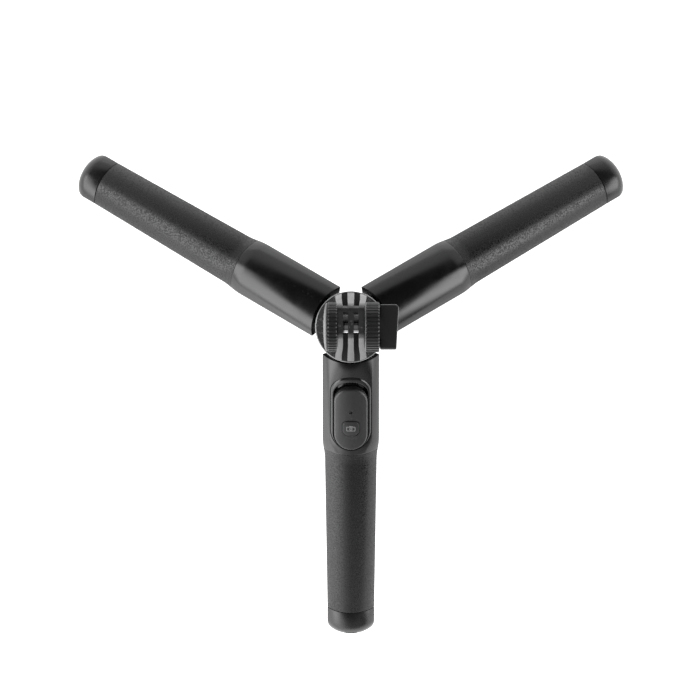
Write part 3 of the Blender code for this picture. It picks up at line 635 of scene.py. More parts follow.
FINISHES = {
    # plastics: colour, worn colour (on fork_black and head_black a painted edge highlight),
    # roughness, grains per metre, depth of the grain
    "satin_black": (plastic, "satin_black_plastic", (0.007, 0.007, 0.0072),
                    (0.05, 0.05, 0.05), 0.18, 5200.0, 0.000004),
    # head_black: its lighter edge colour is a painted highlight along the edges of the knobs
    # and the wing.
    "head_black": (plastic, "head_black_plastic", (0.024, 0.024, 0.025),
                   (0.16, 0.16, 0.16), 0.33, 5200.0, 0.000010),
    # fork_black: its light edge colour is a painted highlight along the finger edges.
    "fork_black": (plastic, "fork_black_plastic", (0.028, 0.028, 0.029),
                   (0.40, 0.40, 0.40), 0.30, 5200.0, 0.000008, 1.9),
    "plate_black": (plastic, "plate_black_plastic", (0.022, 0.022, 0.023),
                    (0.20, 0.20, 0.20), 0.22, 5200.0, 0.000006, 2.1),
    "gloss_black": (plastic, "gloss_black_plastic", (0.012, 0.012, 0.013),
                    (0.08, 0.08, 0.08), 0.16, 2500.0, 0.000002),
    "cap_black": (plastic, "end_cap_plastic", (0.010, 0.010, 0.0102),
                  (0.07, 0.07, 0.07), 0.26, 4200.0, 0.000004),
    "remote_grey": (plastic, "remote_soft_plastic", (0.028, 0.028, 0.029),
                    (0.10, 0.10, 0.10), 0.42, 6500.0, 0.000006),
    "dome_grey": (plastic, "dome_grey_plastic", (0.085, 0.085, 0.085),
                  (0.22, 0.22, 0.22), 0.42, 5200.0, 0.000006),
    "rubber_black": (plastic, "foot_rubber", (0.012, 0.012, 0.012),
                     (0.05, 0.05, 0.05), 0.74, 3000.0, 0.000020),
    "board_green": (plastic, "board_resist", (0.02, 0.12, 0.05),
                    (0.3, 0.25, 0.1), 0.35, 900.0, 0.000010),
    "lamp_lens": (plastic, "lamp_lens", (0.010, 0.010, 0.012),
                  (0.05, 0.05, 0.05), 0.08, 900.0, 0.000002),
    "print_grey": (plastic, "button_print", (0.26, 0.26, 0.26),
                   (0.20, 0.20, 0.20), 0.50, 5200.0, 0.000006),
    "grip_skin": (grip_skin,),
    # metals: colour, roughness, lines per metre along each axis, depth of the lines
    "tube_black": (metal, "anodised_tube", (0.045, 0.045, 0.048), 0.30, (2600, 2600, 40),
                   0.000006, 0.0),
    "bolt_steel": (metal, "turned_steel", (0.42, 0.42, 0.43), 0.14, (3200, 60, 60),
                   0.000004),
    "pin_steel": (metal, "pin_steel", (0.55, 0.55, 0.57), 0.26, (400, 400, 400), 0.000004),
    "bracket_black": (metal, "painted_bracket", (0.035, 0.035, 0.037), 0.42,
                      (900, 900, 900), 0.000010),
}


def finish_called(look):
    maker, *values = FINISHES[look]
    return maker(*values)


# ---------------------------------------------------------------- legs


def leg_outer(down):
    """The leg's outer radius at a distance down from the hinge."""
    taper = max(0.0, down - SHOULDER - SHOULDER_LENGTH) * TAPER
    share = min(1.0, max(0.0, (down - SHOULDER) / SHOULDER_LENGTH))
    return LEG_RADIUS - SHOULDER_STEP * (1 - cos(pi * share)) / 2 - taper


def outer_line(first, last, inset=0.0):
    shoulder = [SHOULDER + SHOULDER_LENGTH * i / 14 for i in range(15)]
    stops = [first, *[down for down in shoulder if first < down < last], last]
    return [(leg_outer(down) - inset, down) for down in stops]


def open_leg(piece, side):
    """Take a piece from the folded leg's own place to its place on the open tripod."""
    place = (Matrix.Rotation(AZIMUTHS[side], 4, "Z")
             @ Matrix.Translation((HINGE_RADIUS, 0, HINGE_HEIGHT))
             @ Matrix.Rotation(-SPREAD, 4, "Y"))
    return stand(piece, place)


def facing_out():
    """Turns a flat piece so that its Z points out of the leg and its Y up it."""
    return Matrix(((0, 0, 1, 0), (1, 0, 0, 0), (0, 1, 0, 0), (0, 0, 0, 1)))


def upright():
    """Turns a flat piece so that its Z points sideways and its Y up the leg."""
    return Matrix.Rotation(pi / 2, 4, "X")


def wrap_skin(piece):
    """A UV map in metres: round the leg, and along it."""
    skin = piece.data.uv_layers.new(name="skin")
    for loop in piece.data.loops:
        point = piece.data.vertices[loop.vertex_index].co
        x, y = point.x + HINGE_RADIUS, point.y
        skin.data[loop.index].uv = (atan2(y, x) * sqrt(x * x + y * y), point.z)


def cap_stub(growth):
    inner = LEG_INNER + POCKET_WALL - growth
    outer = leg_outer(CAP_START) - 1.4 * POCKET_WALL + growth
    first, last = CAP_START - POCKET_WALL, CAP_START + 3 * POCKET_WALL + growth
    outline = [(outer, first), (outer, last), (inner, last), (inner, first)]
    return swept("stub", outline, POCKET_HALF_ANGLE + growth / inner, 24)


def leg_shell(has_remote):
    """The moulded handle section: smooth above the grip, set back under it."""
    inset = GRIP_THICKNESS + GAP
    outline = [
        *outer_line(LEG_TOP, GRIP_START - GAP / 5),
        *outer_line(GRIP_START - GAP / 5, CAP_START, inset),
        (LEG_INNER, CAP_START),
        (LEG_INNER, LEG_TOP),
    ]
    shell = swept("shell", outline, LEG_HALF_ANGLE)
    for vertex in shell.data.vertices:
        if abs(vertex.co.z + LEG_TOP) < HAIR:
            vertex.co.z = -LEG_TOP - LEG_TOP_SLOPE * vertex.co.x
    cut(shell, cap_stub(0.0), "UNION")
    pockets = [(GRIP_START + inset, CAP_START - 6 * POCKET_WALL)]
    if not has_remote:
        pockets.append((0.0150 + 4 * POCKET_WALL, GRIP_START - POCKET_WALL))
    for first, last in pockets:
        deep = leg_outer(last) - inset - POCKET_WALL
        low = LEG_INNER - POCKET_WALL
        outline = [(deep, first), (deep, last), (low, last), (low, first)]
        cut(shell, swept("pocket", outline, POCKET_HALF_ANGLE, 24))
    cut(shell, slot_shape("tang_hole", 2 * 0.0029, 2 * 0.0052, 0.0004, (0, 0), -0.0153, 0, 4))
    if has_remote:
        width, length, middle = cradle_size(GAP / 4)
        hole = slot_shape("hole", width, length, width * ROUND_END, middle,
                          REMOTE_BOTTOM - CRADLE_WALL - 2 * GAP, PAST / 2)
        cut(shell, stand(hole, facing_out()))
    return shell


def leg_cap():
    """The end cap: a skirt round the shell's stub, with a rounded outer end."""
    first = CAP_START + GAP
    outer = leg_outer(first)
    centre = (outer - CAP_ROUNDING, LEG_LENGTH - CAP_ROUNDING)
    reach = sqrt(CAP_ROUNDING**2 - (LEG_INNER - centre[0]) ** 2)
    last = atan2(reach, LEG_INNER - centre[0])
    outline = [(outer, first), *arc(centre, CAP_ROUNDING, 0, last, 20), (LEG_INNER, first)]
    cap = swept("cap", outline, LEG_HALF_ANGLE)
    cut(cap, cap_stub(GAP))
    return cap


def lanyard_slot():
    """The crescent slot across the front cap's end, as a bent bar to cut with."""
    centre = (leg_outer(CAP_START) - CAP_ROUNDING, LEG_LENGTH - CAP_ROUNDING)
    outline = arc(centre, CAP_ROUNDING + 0.001, 0.62, 0.78, 4)
    outline += arc(centre, CAP_ROUNDING - 0.0016, 0.78, 0.62, 4)
    return swept("slot", outline, radians(15), 24)


def leg_foot():
    """The rubber pad, whose sole lies level on the ground when the leg is open."""
    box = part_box("leg_front_foot")
    half = (box[1][0] - box[0][0]) / 2
    face, sole, end = -0.0053, 0.0032, LEG_LENGTH - GAP
    fall = cos(SPREAD) / sin(SPREAD)
    tip = face - 0.00405
    outline = [
        (face, -(end - 0.0102)),
        (face, -(end - 2 * GAP)),
        (tip, -end),
        (tip - sole * fall, -(end - sole)),
        (tip + GAP, -(end - 0.0102 + sole)),
    ]
    foot = raised("foot", outline, -half, half)
    soften(foot, 0.00035)
    return stand(foot, upright())


def leg_bracket():
    """The metal tang with its rounded eye."""
    half, eye, reach = 0.0026, 0.0033, TANG
    lean = atan2(half, sqrt(eye**2 - half**2))
    outline = [(-half, -reach), (half, -reach),
               *arc((0, 0), eye, lean - pi / 2, 1.5 * pi - lean, 40)]
    width = 0.0098
    bracket = raised("bracket", outline, -width / 2, width / 2)
    cut(bracket, turned("eye", rod(0.00162, width, -width), 32))
    soften(bracket, 0.0004)
    return stand(bracket, upright())


def build_legs():
    plain = {"shell": leg_shell(False), "cap": leg_cap(), "foot": leg_foot(),
             "bracket": leg_bracket()}
    grip_inner = outer_line(GRIP_START, CAP_START, GRIP_THICKNESS)
    outline = outer_line(GRIP_START, CAP_START) + grip_inner[::-1]
    plain["grip"] = swept("grip", outline, LEG_HALF_ANGLE)
    wrap_skin(plain["grip"])
    front = {"shell": leg_shell(True), "cap": copied(plain["cap"], "front_cap")}
    cut(front["cap"], lanyard_slot())
    for shaped in (plain["shell"], front["shell"]):
        soften(shaped, 0.00035)
    for shaped in (plain["cap"], front["cap"]):
        soften(shaped, 0.00022)
    soften(plain["grip"], 0.00018)
    looks = {
        "shell": ("satin_black", "satin_black"),
        "cap": ("cap_black", "gloss_black"),
        "foot": ("rubber_black", "rubber_black"),
        "bracket": ("bracket_black", "satin_black"),
        "grip": ("grip_skin", "grip_black"),
    }
    for side in AZIMUTHS:
        for part, (look, slot) in looks.items():
            pattern = front.get(part, plain[part]) if side == "front" else plain[part]
            piece = open_leg(copied(pattern, f"{side}_leg_{part}"), side)
            finish(piece, f"leg_{side}", look, slot, f"leg_{side}_{part}")
    for pattern in [*plain.values(), *front.values()]:
        bpy.data.objects.remove(pattern)


# ---------------------------------------------------------------- remote


def cradle_size(growth):
    """Width, length and middle of the cradle's outline."""
    width = REMOTE_WIDTH + 2 * (CRADLE_SIDE + GAP + growth)
    top = -(REMOTE_CENTRE - REMOTE_LENGTH / 2 - CRADLE_HEAD - growth)
    bottom = -(REMOTE_CENTRE + REMOTE_LENGTH / 2 + CRADLE_TAIL + GAP + growth)
    return width, top - bottom, (0, (top + bottom) / 2)


def remote_shape(growth, low, high, head=0.0):
    """The remote's outline, made longer at its head where asked."""
    width, length = REMOTE_WIDTH + 2 * growth, REMOTE_LENGTH + 2 * growth + head
    middle = (0, -REMOTE_CENTRE + head / 2)
    return slot_shape("remote", width, length, width * ROUND_END, middle, low, high)


def build_cradle():
    """The glossy tray: a rolled rim that is broad at the head, with a scoop inside it."""
    low, crest = REMOTE_BOTTOM - GAP - CRADLE_WALL, CROWN + 0.0002
    width, length, middle = cradle_size(0.0)
    cradle = shouldered("cradle", width, length, width * ROUND_END, middle, low, crest,
                        CRADLE_SIDE * 0.55)
    scoop_floor = REMOTE_BOTTOM + REMOTE_BASE_HEIGHT - 0.0020
    flare = CRADLE_SIDE * 0.45
    scoop = remote_shape(GAP, scoop_floor, crest - flare, SCOOP)
    pick(scoop, lambda face: face.normal.z > 0.9, "FACE")
    across, along = REMOTE_WIDTH + 2 * GAP, REMOTE_LENGTH + 2 * GAP + SCOOP
    rolled_up(across, along, (0, -REMOTE_CENTRE + SCOOP / 2), flare, 6, 1)
    bpy.ops.mesh.extrude_region_move(TRANSFORM_OT_translate={"value": (0, 0, 0.003)})
    done()
    cut(cradle, scoop)
    cut(cradle, remote_shape(GAP, REMOTE_BOTTOM - GAP, PAST))
    saddled(cradle, LEG_RADIUS, scoop_floor - HAIR, width / 2)
    shade(cradle, 30)
    finish(open_leg(stand(cradle, facing_out()), "front"), "leg_front", "gloss_black",
           "gloss_black", "remote_cradle")


def build_remote():
    """Two soft-touch shells, the shutter button with a camera sign, and a pin lamp."""
    split = REMOTE_BOTTOM + REMOTE_BASE_HEIGHT
    wall, half = REMOTE_WALL, REMOTE_WIDTH / 2
    base = remote_shape(0.0, REMOTE_BOTTOM, split)
    cut(base, remote_shape(-wall, REMOTE_BOTTOM + wall, PAST))
    soften(base, 0.0004)
    cover = shouldered("cover", REMOTE_WIDTH, REMOTE_LENGTH, half * 0.98,
                       (0, -REMOTE_CENTRE), split + GAP, REMOTE_TOP, 0.0010)
    cut(cover, remote_shape(-wall, split, REMOTE_TOP - wall))
    hole_size = BUTTON_SIZE + 2 * GAP
    cut(cover, slot_shape("hole", hole_size, hole_size, BUTTON_SIZE / 3,
                          (0, -BUTTON_CENTRE), -PAST, PAST, 10))
    lamp_hole = turned("lamp_hole", rod(LED_RADIUS + GAP / 2, PAST, -PAST), 32)
    cut(cover, stand(lamp_hole, Matrix.Translation((0, -LED_CENTRE, 0))))
    saddled(cover, REMOTE_CURVE, split + 2 * GAP, half)
    shade(cover, 30)
    top = REMOTE_TOP + 0.0004
    underside = REMOTE_TOP - 2 * wall + GAP
    button = shouldered("button", BUTTON_SIZE, BUTTON_SIZE, BUTTON_SIZE / 3,
                        (0, -BUTTON_CENTRE), underside, top, 0.0004, 5)
    saddled(button, REMOTE_CURVE, underside + HAIR, BUTTON_SIZE / 2, 12)
    shade(button, 30)
    lamp = turned("lamp", [(0, REMOTE_TOP - 0.0002), (LED_RADIUS * 0.6, REMOTE_TOP - 0.00025),
                           (LED_RADIUS, REMOTE_TOP - 0.0005), (LED_RADIUS, split),
                           (0, split)], 32)
    stand(lamp, Matrix.Translation((0, -LED_CENTRE, 0)))
    shade(lamp)
    for piece, name, body, look, slot, cad in (
        (base, "remote_back", "remote", "remote_grey", "remote_grey", "remote_base"),
        (cover, "remote_face", "remote", "remote_grey", "remote_grey", "remote_cover"),
        (button, "shutter_key", "shutter_button", "remote_grey", "remote_grey",
         "remote_button"),
        (lamp, "pin_lamp", "remote", "lamp_lens", "led_lens", "remote_led"),
        (camera_sign(top), "camera_sign", "shutter_button", "print_grey", "remote_grey", None),
    ):
        piece.name = piece.data.name = name
        nodes = [cad] if cad else []
        finish(open_leg(stand(piece, facing_out()), "front"), body, look, slot, *nodes)


def camera_sign(top):
    """The printed outline of a camera: a body with a small hump, and a round lens."""
    width, height, line = 0.0054, 0.0031, 0.00050
    low, high = top - 0.00010, top + 0.00003
    place = (0, -BUTTON_CENTRE - 0.0002)
    body = slot_shape("sign", width, height, 0.0006, place, low, high, 6)
    hump_at = (0, place[1] + height / 2)
    cut(body, slot_shape("hump", width * 0.4, 0.0009, 0.0002, hump_at, low, high, 3), "UNION")
    cut(body, slot_shape("window", width - 2 * line, height - 2 * line, 0.0003, place,
                         low - line, high + line, 4))
    lens = turned("lens", ring(0.00095, 0.00095 - line, high, low), 32)
    cut(body, stand(lens, Matrix.Translation((*place, 0))), "UNION")
    saddled(body, REMOTE_CURVE, 0.0, width / 2, 12)
    shade(body)
    return body


# ---------------------------------------------------------------- pole and hub


def tube_outer(stage):
    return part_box("tube_1")[1][0] - stage * TUBE_STEP


def build_pole():
    """Drawn tubes with eased ends, rolled collars and the bottom plug."""
    for stage in range(5):
        name = f"tube_{stage + 1}"
        low, high = reach_of(name, "Z")
        outer = tube_outer(stage)
        tube = turned(f"pole_{name}", ring(outer, outer - TUBE_WALL, high, low))
        soften(tube, 0.00015, 2)
        body = "stand" if stage == 0 else f"pole_{stage + 1}"
        finish(tube, body, "tube_black", "tube_black", name)
        if stage < 4:
            build_collar(stage, body)
    low, high = reach_of("bottom_plug", "Z")
    inner = tube_outer(0) - TUBE_WALL - 0.00012
    outer = tube_outer(0)
    flange = low + 0.0020
    outline = [(0, high), (inner, high), (inner, flange), (outer, flange), (outer, low),
               (0, low)]
    plug = turned("pole_plug", outline)
    soften(plug, 0.0004)
    finish(plug, "stand", "rubber_black", "rubber_black", "bottom_plug")


def build_collar(stage, body):
    """A moulded collar with a ring of fine grip ribs round its skirt."""
    name = f"collar_{stage + 1}"
    low, high = reach_of(name, "Z")
    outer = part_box(name)[1][0]
    lip = tube_outer(stage + 1) + GAP
    tube = tube_outer(stage) + GAP
    seat = low + 0.0030 + GAP
    groove = 0.00018
    rib = (high - low - 0.0014) / 5
    outline = [(lip, high), (outer - 0.0005, high), (outer, high - 0.0005)]
    for i in range(4):
        here = high - 0.0009 - i * rib
        outline += [(outer, here), (outer - groove, here - rib * 0.15),
                    (outer - groove, here - rib * 0.3), (outer, here - rib * 0.45)]
    outline += [(outer, low + 0.0003), (outer - 0.0003, low), (tube, low), (tube, seat),
                (lip, seat)]
    collar = turned(f"pole_{name}", outline)
    shade(collar, 25)
    finish(collar, body, "satin_black", "satin_black", name)


def build_hub():
    """The hinge block, slotted for the three brackets, with its pins and top cap."""
    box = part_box("hub_body")
    low, high = box[0][2], box[1][2]
    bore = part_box("tube_1")[1][0] + GAP
    outline = [(LEG_RADIUS - 0.0009, high), (LEG_RADIUS, high - 0.0009),
               (LEG_RADIUS, low + 0.0023), (LEG_RADIUS - 0.0018, low), (bore, low),
               (bore, high)]
    hub = turned("hinge_hub", outline, 144)
    slot_low, slot_high = 0.0103, LEG_RADIUS + 0.004
    middle = (slot_low + slot_high) / 2
    for side, azimuth in AZIMUTHS.items():
        turn = Matrix.Rotation(azimuth, 4, "Z")
        slot = slot_shape("slot", slot_high - slot_low, 2 * SLOT_HALF, GAP, (middle, 0),
                          low - 0.004, HINGE_HEIGHT + 0.0037, 3)
        cut(hub, stand(slot, turn))
        across = turn @ Matrix.Translation((HINGE_RADIUS, 0, HINGE_HEIGHT)) @ upright()
        cut(hub, stand(turned("hole", rod(PIN_HOLE, LEG_RADIUS, -LEG_RADIUS), 32), across))
        pin = turned(f"{side}_hinge_pin", rod(PIN_RADIUS, 0.0115, -0.0115), 40)
        soften(pin, 0.0003)
        finish(stand(pin, across), "stand", "pin_steel", "steel", f"hinge_pin_{side}")
    seat = Matrix.Translation((0, 0, HINGE_HEIGHT + 0.0033)) @ upright()
    cut(hub, stand(turned("hole", rod(PIN_HOLE, -0.009, -0.022), 32), seat))
    soften(hub, 0.0003)
    finish(hub, "stand", "satin_black", "satin_black", "hub_body")
    low, high = reach_of("hub_cap", "Z")
    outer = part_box("hub_cap")[1][0]
    outline = [(bore, high), (bore + 0.0012, high), (bore + 0.0016, high - 0.0003),
               (outer - 0.0018, high - 0.0003), (outer, high - 0.0012), (outer, low),
               (bore, low)]
    cap = turned("hub_top", outline, 144)
    soften(cap, 0.00015, 2)
    finish(cap, "stand", "gloss_black", "gloss_black", "hub_cap")
    screw = turned("grub_screw", rod(PIN_RADIUS, -0.0096, -0.0184), 32)
    cut(screw, turned("key_hole", rod(0.00075, -0.0165, -0.0190), 6))
    soften(screw, 0.00012, 2)
    finish(stand(screw, seat), "stand", "pin_steel", "steel", "hub_grub_screw")


# ---------------------------------------------------------------- head


def along_bolt():
    """Places a turned piece on the bolt's axis, with its top towards +X."""
    return Matrix.Translation((0, 0, BOLT_AXIS)) @ Matrix.Rotation(pi / 2, 4, "Y")


def build_swivel():
    """The socket on the last tube and the round plate that turns on it."""
    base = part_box("swivel_base")
    bore, room = 0.0043, 0.0073
    recess = BASE_TOP - 0.0012 - 3 * GAP
    roll = 0.0011
    rim = HEAD_RADIUS - roll
    outline = [*arc((rim, BASE_TOP - roll), roll, pi / 2, 0, 8),
               *arc((rim, BASE_BOTTOM + roll), roll, 0, -pi / 2, 8),
               (bore, BASE_BOTTOM), (bore, recess), (room, recess), (room, BASE_TOP)]
    plate = turned("swivel_plate", outline, 160)
    for sign in (-1, 1):
        here = Matrix.Translation((0, sign * 0.0135, base[0][2]))
        cut(plate, stand(turned("hole", rod(0.0030, 0.0024, -0.001), 40), here))
        cut(plate, stand(turned("hole", rod(0.0018, 0.01, -0.001), 32), here))
    soften(plate, 0.00025, 3)
    finish(plate, "head", "plate_black", "gloss_black", "swivel_base")
    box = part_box("head_socket")
    low, high = box[0][2], box[1][2]
    flange_low = low + 0.0030 + GAP
    flange_high = flange_low + 0.0022
    tube = tube_outer(4) + GAP
    skirt = tube + 0.0009
    outline = [(0, high), (0.0026, high), (0.0026, recess), (0.0040, recess),
               (0.0040, flange_high), (0.0100, flange_high), (0.0100, flange_low + 0.0011),
               (skirt, flange_low - 0.0005), (skirt, low), (tube, low), (tube, flange_low),
               (0, flange_low)]
    socket = turned("pan_socket", outline)
    soften(socket, 0.00025)
    finish(socket, "pole_5", "satin_black", "satin_black", "head_socket")
    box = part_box("pan_washer")
    washer = turned("friction_washer", ring(0.0097, 0.0043, box[1][2], box[0][2]))
    soften(washer, 0.0002, 2)
    finish(washer, "pole_5", "rubber_black", "rubber_black", "pan_washer")


def bowed(before, corner, after, reach, steps):
    """Points on a curve that cuts a corner, starting this far before and after it."""
    corner, ends = Vector(corner), []
    for other in (before, after):
        ends.append(corner + reach * (Vector(other) - corner).normalized())
    points = []
    for i in range(steps + 1):
        share = i / steps
        point = (1 - share) ** 2 * ends[0] + 2 * share * (1 - share) * corner
        points.append(tuple(point + share**2 * ends[1]))
    return points


def finger_outline():
    """A finger seen from the side, as (distance along Y, height)."""
    foot = BASE_TOP + 0.0010
    rise = BOLT_AXIS - foot
    away = sqrt(rise**2 + FORK_END**2)
    touch = atan2(rise, FORK_END) + atan2(FINGER_RADIUS, sqrt(away**2 - FINGER_RADIUS**2))
    touch += pi / 2
    top = BOLT_AXIS + FINGER_RADIUS
    return [
        (FORK_END, BASE_TOP + GAP),
        (FORK_END, foot),
        *bowed((FORK_END, foot), (BACK_LENGTH, top - BACK_DROP), (0, top), 0.0050, 12),
        *arc((0, BOLT_AXIS), FINGER_RADIUS, pi / 2, touch, 28),
        (-FORK_END, foot),
        (-FORK_END, BASE_TOP + GAP),
    ]


def ease(value):
    share = min(1.0, max(0.0, value))
    return share * share * (3 - 2 * share)


def finger_plan(inner, outer, flare, inner_flare):
    """A finger seen from above. Its sides spread where it runs down to its feet."""
    steps = 32
    stations = [FORK_END * (2 * i / steps - 1) for i in range(steps + 1)]
    spread = [ease((abs(y) - 0.0105) / 0.0070) for y in stations]
    out = [(outer + flare * share, y) for y, share in zip(stations, spread)]
    back = [(inner + inner_flare * share, y) for y, share in zip(stations, spread)]
    return out + back[::-1]


def build_fork():
    """Three fingers on a foot, with a web behind them and flared feet."""
    sideways = Matrix(((0, 0, 1, 0), (1, 0, 0, 0), (0, 1, 0, 0), (0, 0, 0, 1)))
    low, high = BASE_TOP + GAP, BOLT_AXIS + FINGER_RADIUS + GAP
    half = FINGER / 2
    foot = slot_shape("camera_fork", 2 * 0.0098, 2 * FORK_END, 0.0033, (0, 0), low,
                      low + 0.0007, 12)
    for sign, plan in ((1, finger_plan(PITCH - half, PITCH + half, 0.0012, 0.0008)),
                       (-1, finger_plan(PITCH - half, PITCH + half, 0.0012, 0.0008)),
                       (1, finger_plan(-half, half, 0.0003, -0.0003))):
        finger = raised("finger", [(sign * x, y) for x, y in plan], low, high)
        side = raised("side", finger_outline(), -0.0099, 0.0099)
        cut(finger, stand(side, sideways), "INTERSECT")
        cut(foot, finger, "UNION")
    radius = FINGER_RADIUS + GAP
    top = BOLT_AXIS + FINGER_RADIUS - 3 * BACK_DROP
    web = [(-0.0033, low + 0.0002), (BACK_LENGTH - GAP, low + 0.0002),
           (BACK_LENGTH - GAP, top - 0.0012), (BACK_LENGTH - 0.0016, top), (radius, top),
           *arc((0, BOLT_AXIS), radius, 0, -pi / 2, 24), (-0.0033, BOLT_AXIS - radius)]
    side = FORK_SIDE - GAP
    cut(foot, stand(raised("web", web, -side, side), sideways), "UNION")
    disc = turned("disc", rod(HEAD_RADIUS - 0.0006, BASE_TOP + 0.05, BASE_TOP), 160)
    cut(foot, disc, "INTERSECT")
    hole = turned("hole", rod(BOLT_RADIUS + GAP, PAST, -PAST), 48)
    cut(foot, stand(hole, along_bolt()))
    soften(foot, 0.00045, 4, 30)
    finish(foot, "head", "fork_black", "satin_black", "fork")


def knurled(name, outline, radius, low, high, depth):
    """A turned knob whose rim is pressed in between its ribs."""
    knob = turned(name, outline, KNURLS * 6)
    step = 2 * pi / (KNURLS * 6)

    def groove(vertex):
        point = vertex.co
        index = round(atan2(point.y, point.x) / step) % 6
        on_rim = sqrt(point.x**2 + point.y**2) > radius - HAIR
        return on_rim and low < point.z < high and index in (2, 3, 4)

    pick(knob, groove)
    share = 1 - depth / radius
    bpy.ops.transform.resize(value=(share, share, 1), center_override=(0, 0, 0))
    done()
    return knob


def build_nut_knob():
    low, high = reach_of("nut_knob", "X")
    bevel = 0.0005
    land = 0.0009
    bore = 0.0028
    outline = [(bore, high), (KNOB_RADIUS - bevel, high), (KNOB_RADIUS, high - bevel),
               (KNOB_RADIUS, high - land), (KNOB_RADIUS, low + land),
               (KNOB_RADIUS, low + bevel), (KNOB_RADIUS - bevel, low), (bore, low)]
    knob = knurled("nut_knob_rim", outline, KNOB_RADIUS, low + bevel, high - bevel, 0.0005)
    seat = turned("seat", rod(0.0050, high - 0.0014, low - 0.001), 6)
    cut(knob, seat)
    cut(knob, turned("bore", rod(0.0038, high + 0.001, high - 0.003), 48))
    shade(knob, 24)
    finish(stand(knob, along_bolt()), "head", "head_black", "satin_black", "nut_knob")
    near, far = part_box("nut_dome")[1][0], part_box("nut_dome")[0][0]
    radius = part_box("nut_dome")[1][1]
    rise = near - far - 0.0004
    crown = [(radius * sin(a), near - 0.0004 - rise * cos(a))
             for a in [pi / 2 * (1 - i / 20) for i in range(20)]]
    outline = [(0, near), (radius - 0.0002, near), (radius, near - 0.0002), *crown, (0, far)]
    dome = turned("knob_dome", outline, 120)
    shade(dome, 40)
    finish(stand(dome, along_bolt()), "head", "dome_grey", "remote_grey", "nut_dome")
    nut_low, nut_high = reach_of("hex_nut", "X")
    nut = turned("captive_nut", rod(0.0046, nut_high, nut_low), 6)
    cut(nut, turned("thread", rod(0.00262, nut_high + 0.001, nut_low - 0.001), 40))
    soften(nut, 0.0002, 2)
    finish(stand(nut, along_bolt()), "head", "bolt_steel", "steel", "hex_nut")


def build_thumb_knob():
    low, high = reach_of("thumb_knob", "X")
    bevel, land = 0.0006, 0.0011
    bore = BOLT_RADIUS + GAP
    room = 0.0011
    bolt_end = low + 0.0045
    outline = [(0, high - 0.0004), (KNOB_RADIUS - 0.0030, high - 0.0004),
               (KNOB_RADIUS - 0.0026, high), (KNOB_RADIUS - bevel, high),
               (KNOB_RADIUS, high - bevel), (KNOB_RADIUS, high - land),
               (KNOB_RADIUS, low + land), (KNOB_RADIUS, low + bevel),
               (KNOB_RADIUS - bevel, low), (0.0063, low), (0.0063, low + room),
               (bore, low + room), (bore, bolt_end), (0, bolt_end)]
    knob = knurled("thumb_knob_rim", outline, KNOB_RADIUS, low + bevel, high - bevel, 0.0005)
    shade(knob, 24)
    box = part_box("thumb_wing")
    tongue = Vector((0.004, 2 * 0.00655 + 2 * GAP, box[1][2] - box[0][2] + 2 * GAP))
    socket = slot_shape("socket", tongue.x, tongue.y, 0.0002,
                        (box[0][0] + tongue.x / 2 - GAP, 0), box[0][2] - GAP,
                        box[1][2] + GAP, 2)
    stand(knob, along_bolt())
    cut(knob, socket)
    shade(knob, 24)
    finish(knob, "thumb_screw", "head_black", "satin_black", "thumb_knob")
    bolt_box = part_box("bolt")
    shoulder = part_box("hex_nut")[1][0] + GAP
    end = bolt_box[1][0]
    outline = [(0, end), (BOLT_RADIUS, end), (BOLT_RADIUS, shoulder), (0.0025, shoulder)]
    turns = int((shoulder - bolt_box[0][0]) / THREAD_PITCH) - 1
    for i in range(turns):
        here = shoulder - GAP - i * THREAD_PITCH
        outline += [(0.0021, here), (0.0025, here - THREAD_PITCH / 2)]
    outline += [(0.0021, bolt_box[0][0]), (0, bolt_box[0][0])]
    bolt = turned("shoulder_bolt", outline, 64)
    soften(bolt, 0.0001, 2, 50)
    finish(stand(bolt, along_bolt()), "thumb_screw", "bolt_steel", "steel", "bolt")
    low, high = reach_of("clamp_washer", "X")
    washer = turned("thrust_washer", ring(0.0060, 0.0038, high, low), 64)
    soften(washer, 0.00015, 2)
    finish(stand(washer, along_bolt()), "screw_feed", "pin_steel", "steel", "clamp_washer")


def build_wing():
    """The flat wing with eased edges, a slanted free end and its tongue."""
    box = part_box("thumb_wing")
    knob_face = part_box("thumb_knob")[1][0]
    first, reach, half = knob_face + GAP, box[1][0], box[1][1]
    root, tongue, slant = box[0][0], 0.00655, 0.0014
    outline = [(first, -half), (reach - slant, -half), (reach, half - slant),
               (reach - slant, half), (first, half), (first, tongue), (root, tongue),
               (root, -tongue), (first, -tongue)]
    thick = (box[1][2] - box[0][2]) / 2
    wing = raised("turning_wing", outline, -thick, thick)

    def long_front(edge):
        first_end, last_end = (wing.data.vertices[i].co for i in edge.vertices)
        at_front = max(first_end.y, last_end.y) < HAIR - half
        return at_front and abs(first_end.z - last_end.z) < HAIR

    pick(wing, long_front, "EDGE")
    bpy.ops.mesh.bevel(offset=0.0022, segments=10, affect="EDGES")
    done()
    soften(wing, 0.0007, 4, 25)
    stand(wing, Matrix.Translation((0, 0, BOLT_AXIS)))
    finish(wing, "thumb_screw", "head_black", "satin_black", "thumb_wing")


def dress_hidden_nodes():
    """Materials for the frame's own pieces that stay: bushes, clips and the inside."""
    looks = {"guide_bush_2": "rubber_black", "guide_bush_3": "rubber_black",
             "guide_bush_4": "rubber_black", "guide_bush_5": "rubber_black",
             "pan_clip": "pin_steel", "fork_screw_1": "pin_steel",
             "fork_screw_2": "pin_steel", "remote_cell": "pin_steel",
             "remote_switch": "pin_steel", "remote_board": "board_green"}
    for name, look in looks.items():
        data = frame["nodes"][name].data
        data.materials.clear()
        data.materials.append(finish_called(look))


# ---------------------------------------------------------------- stage


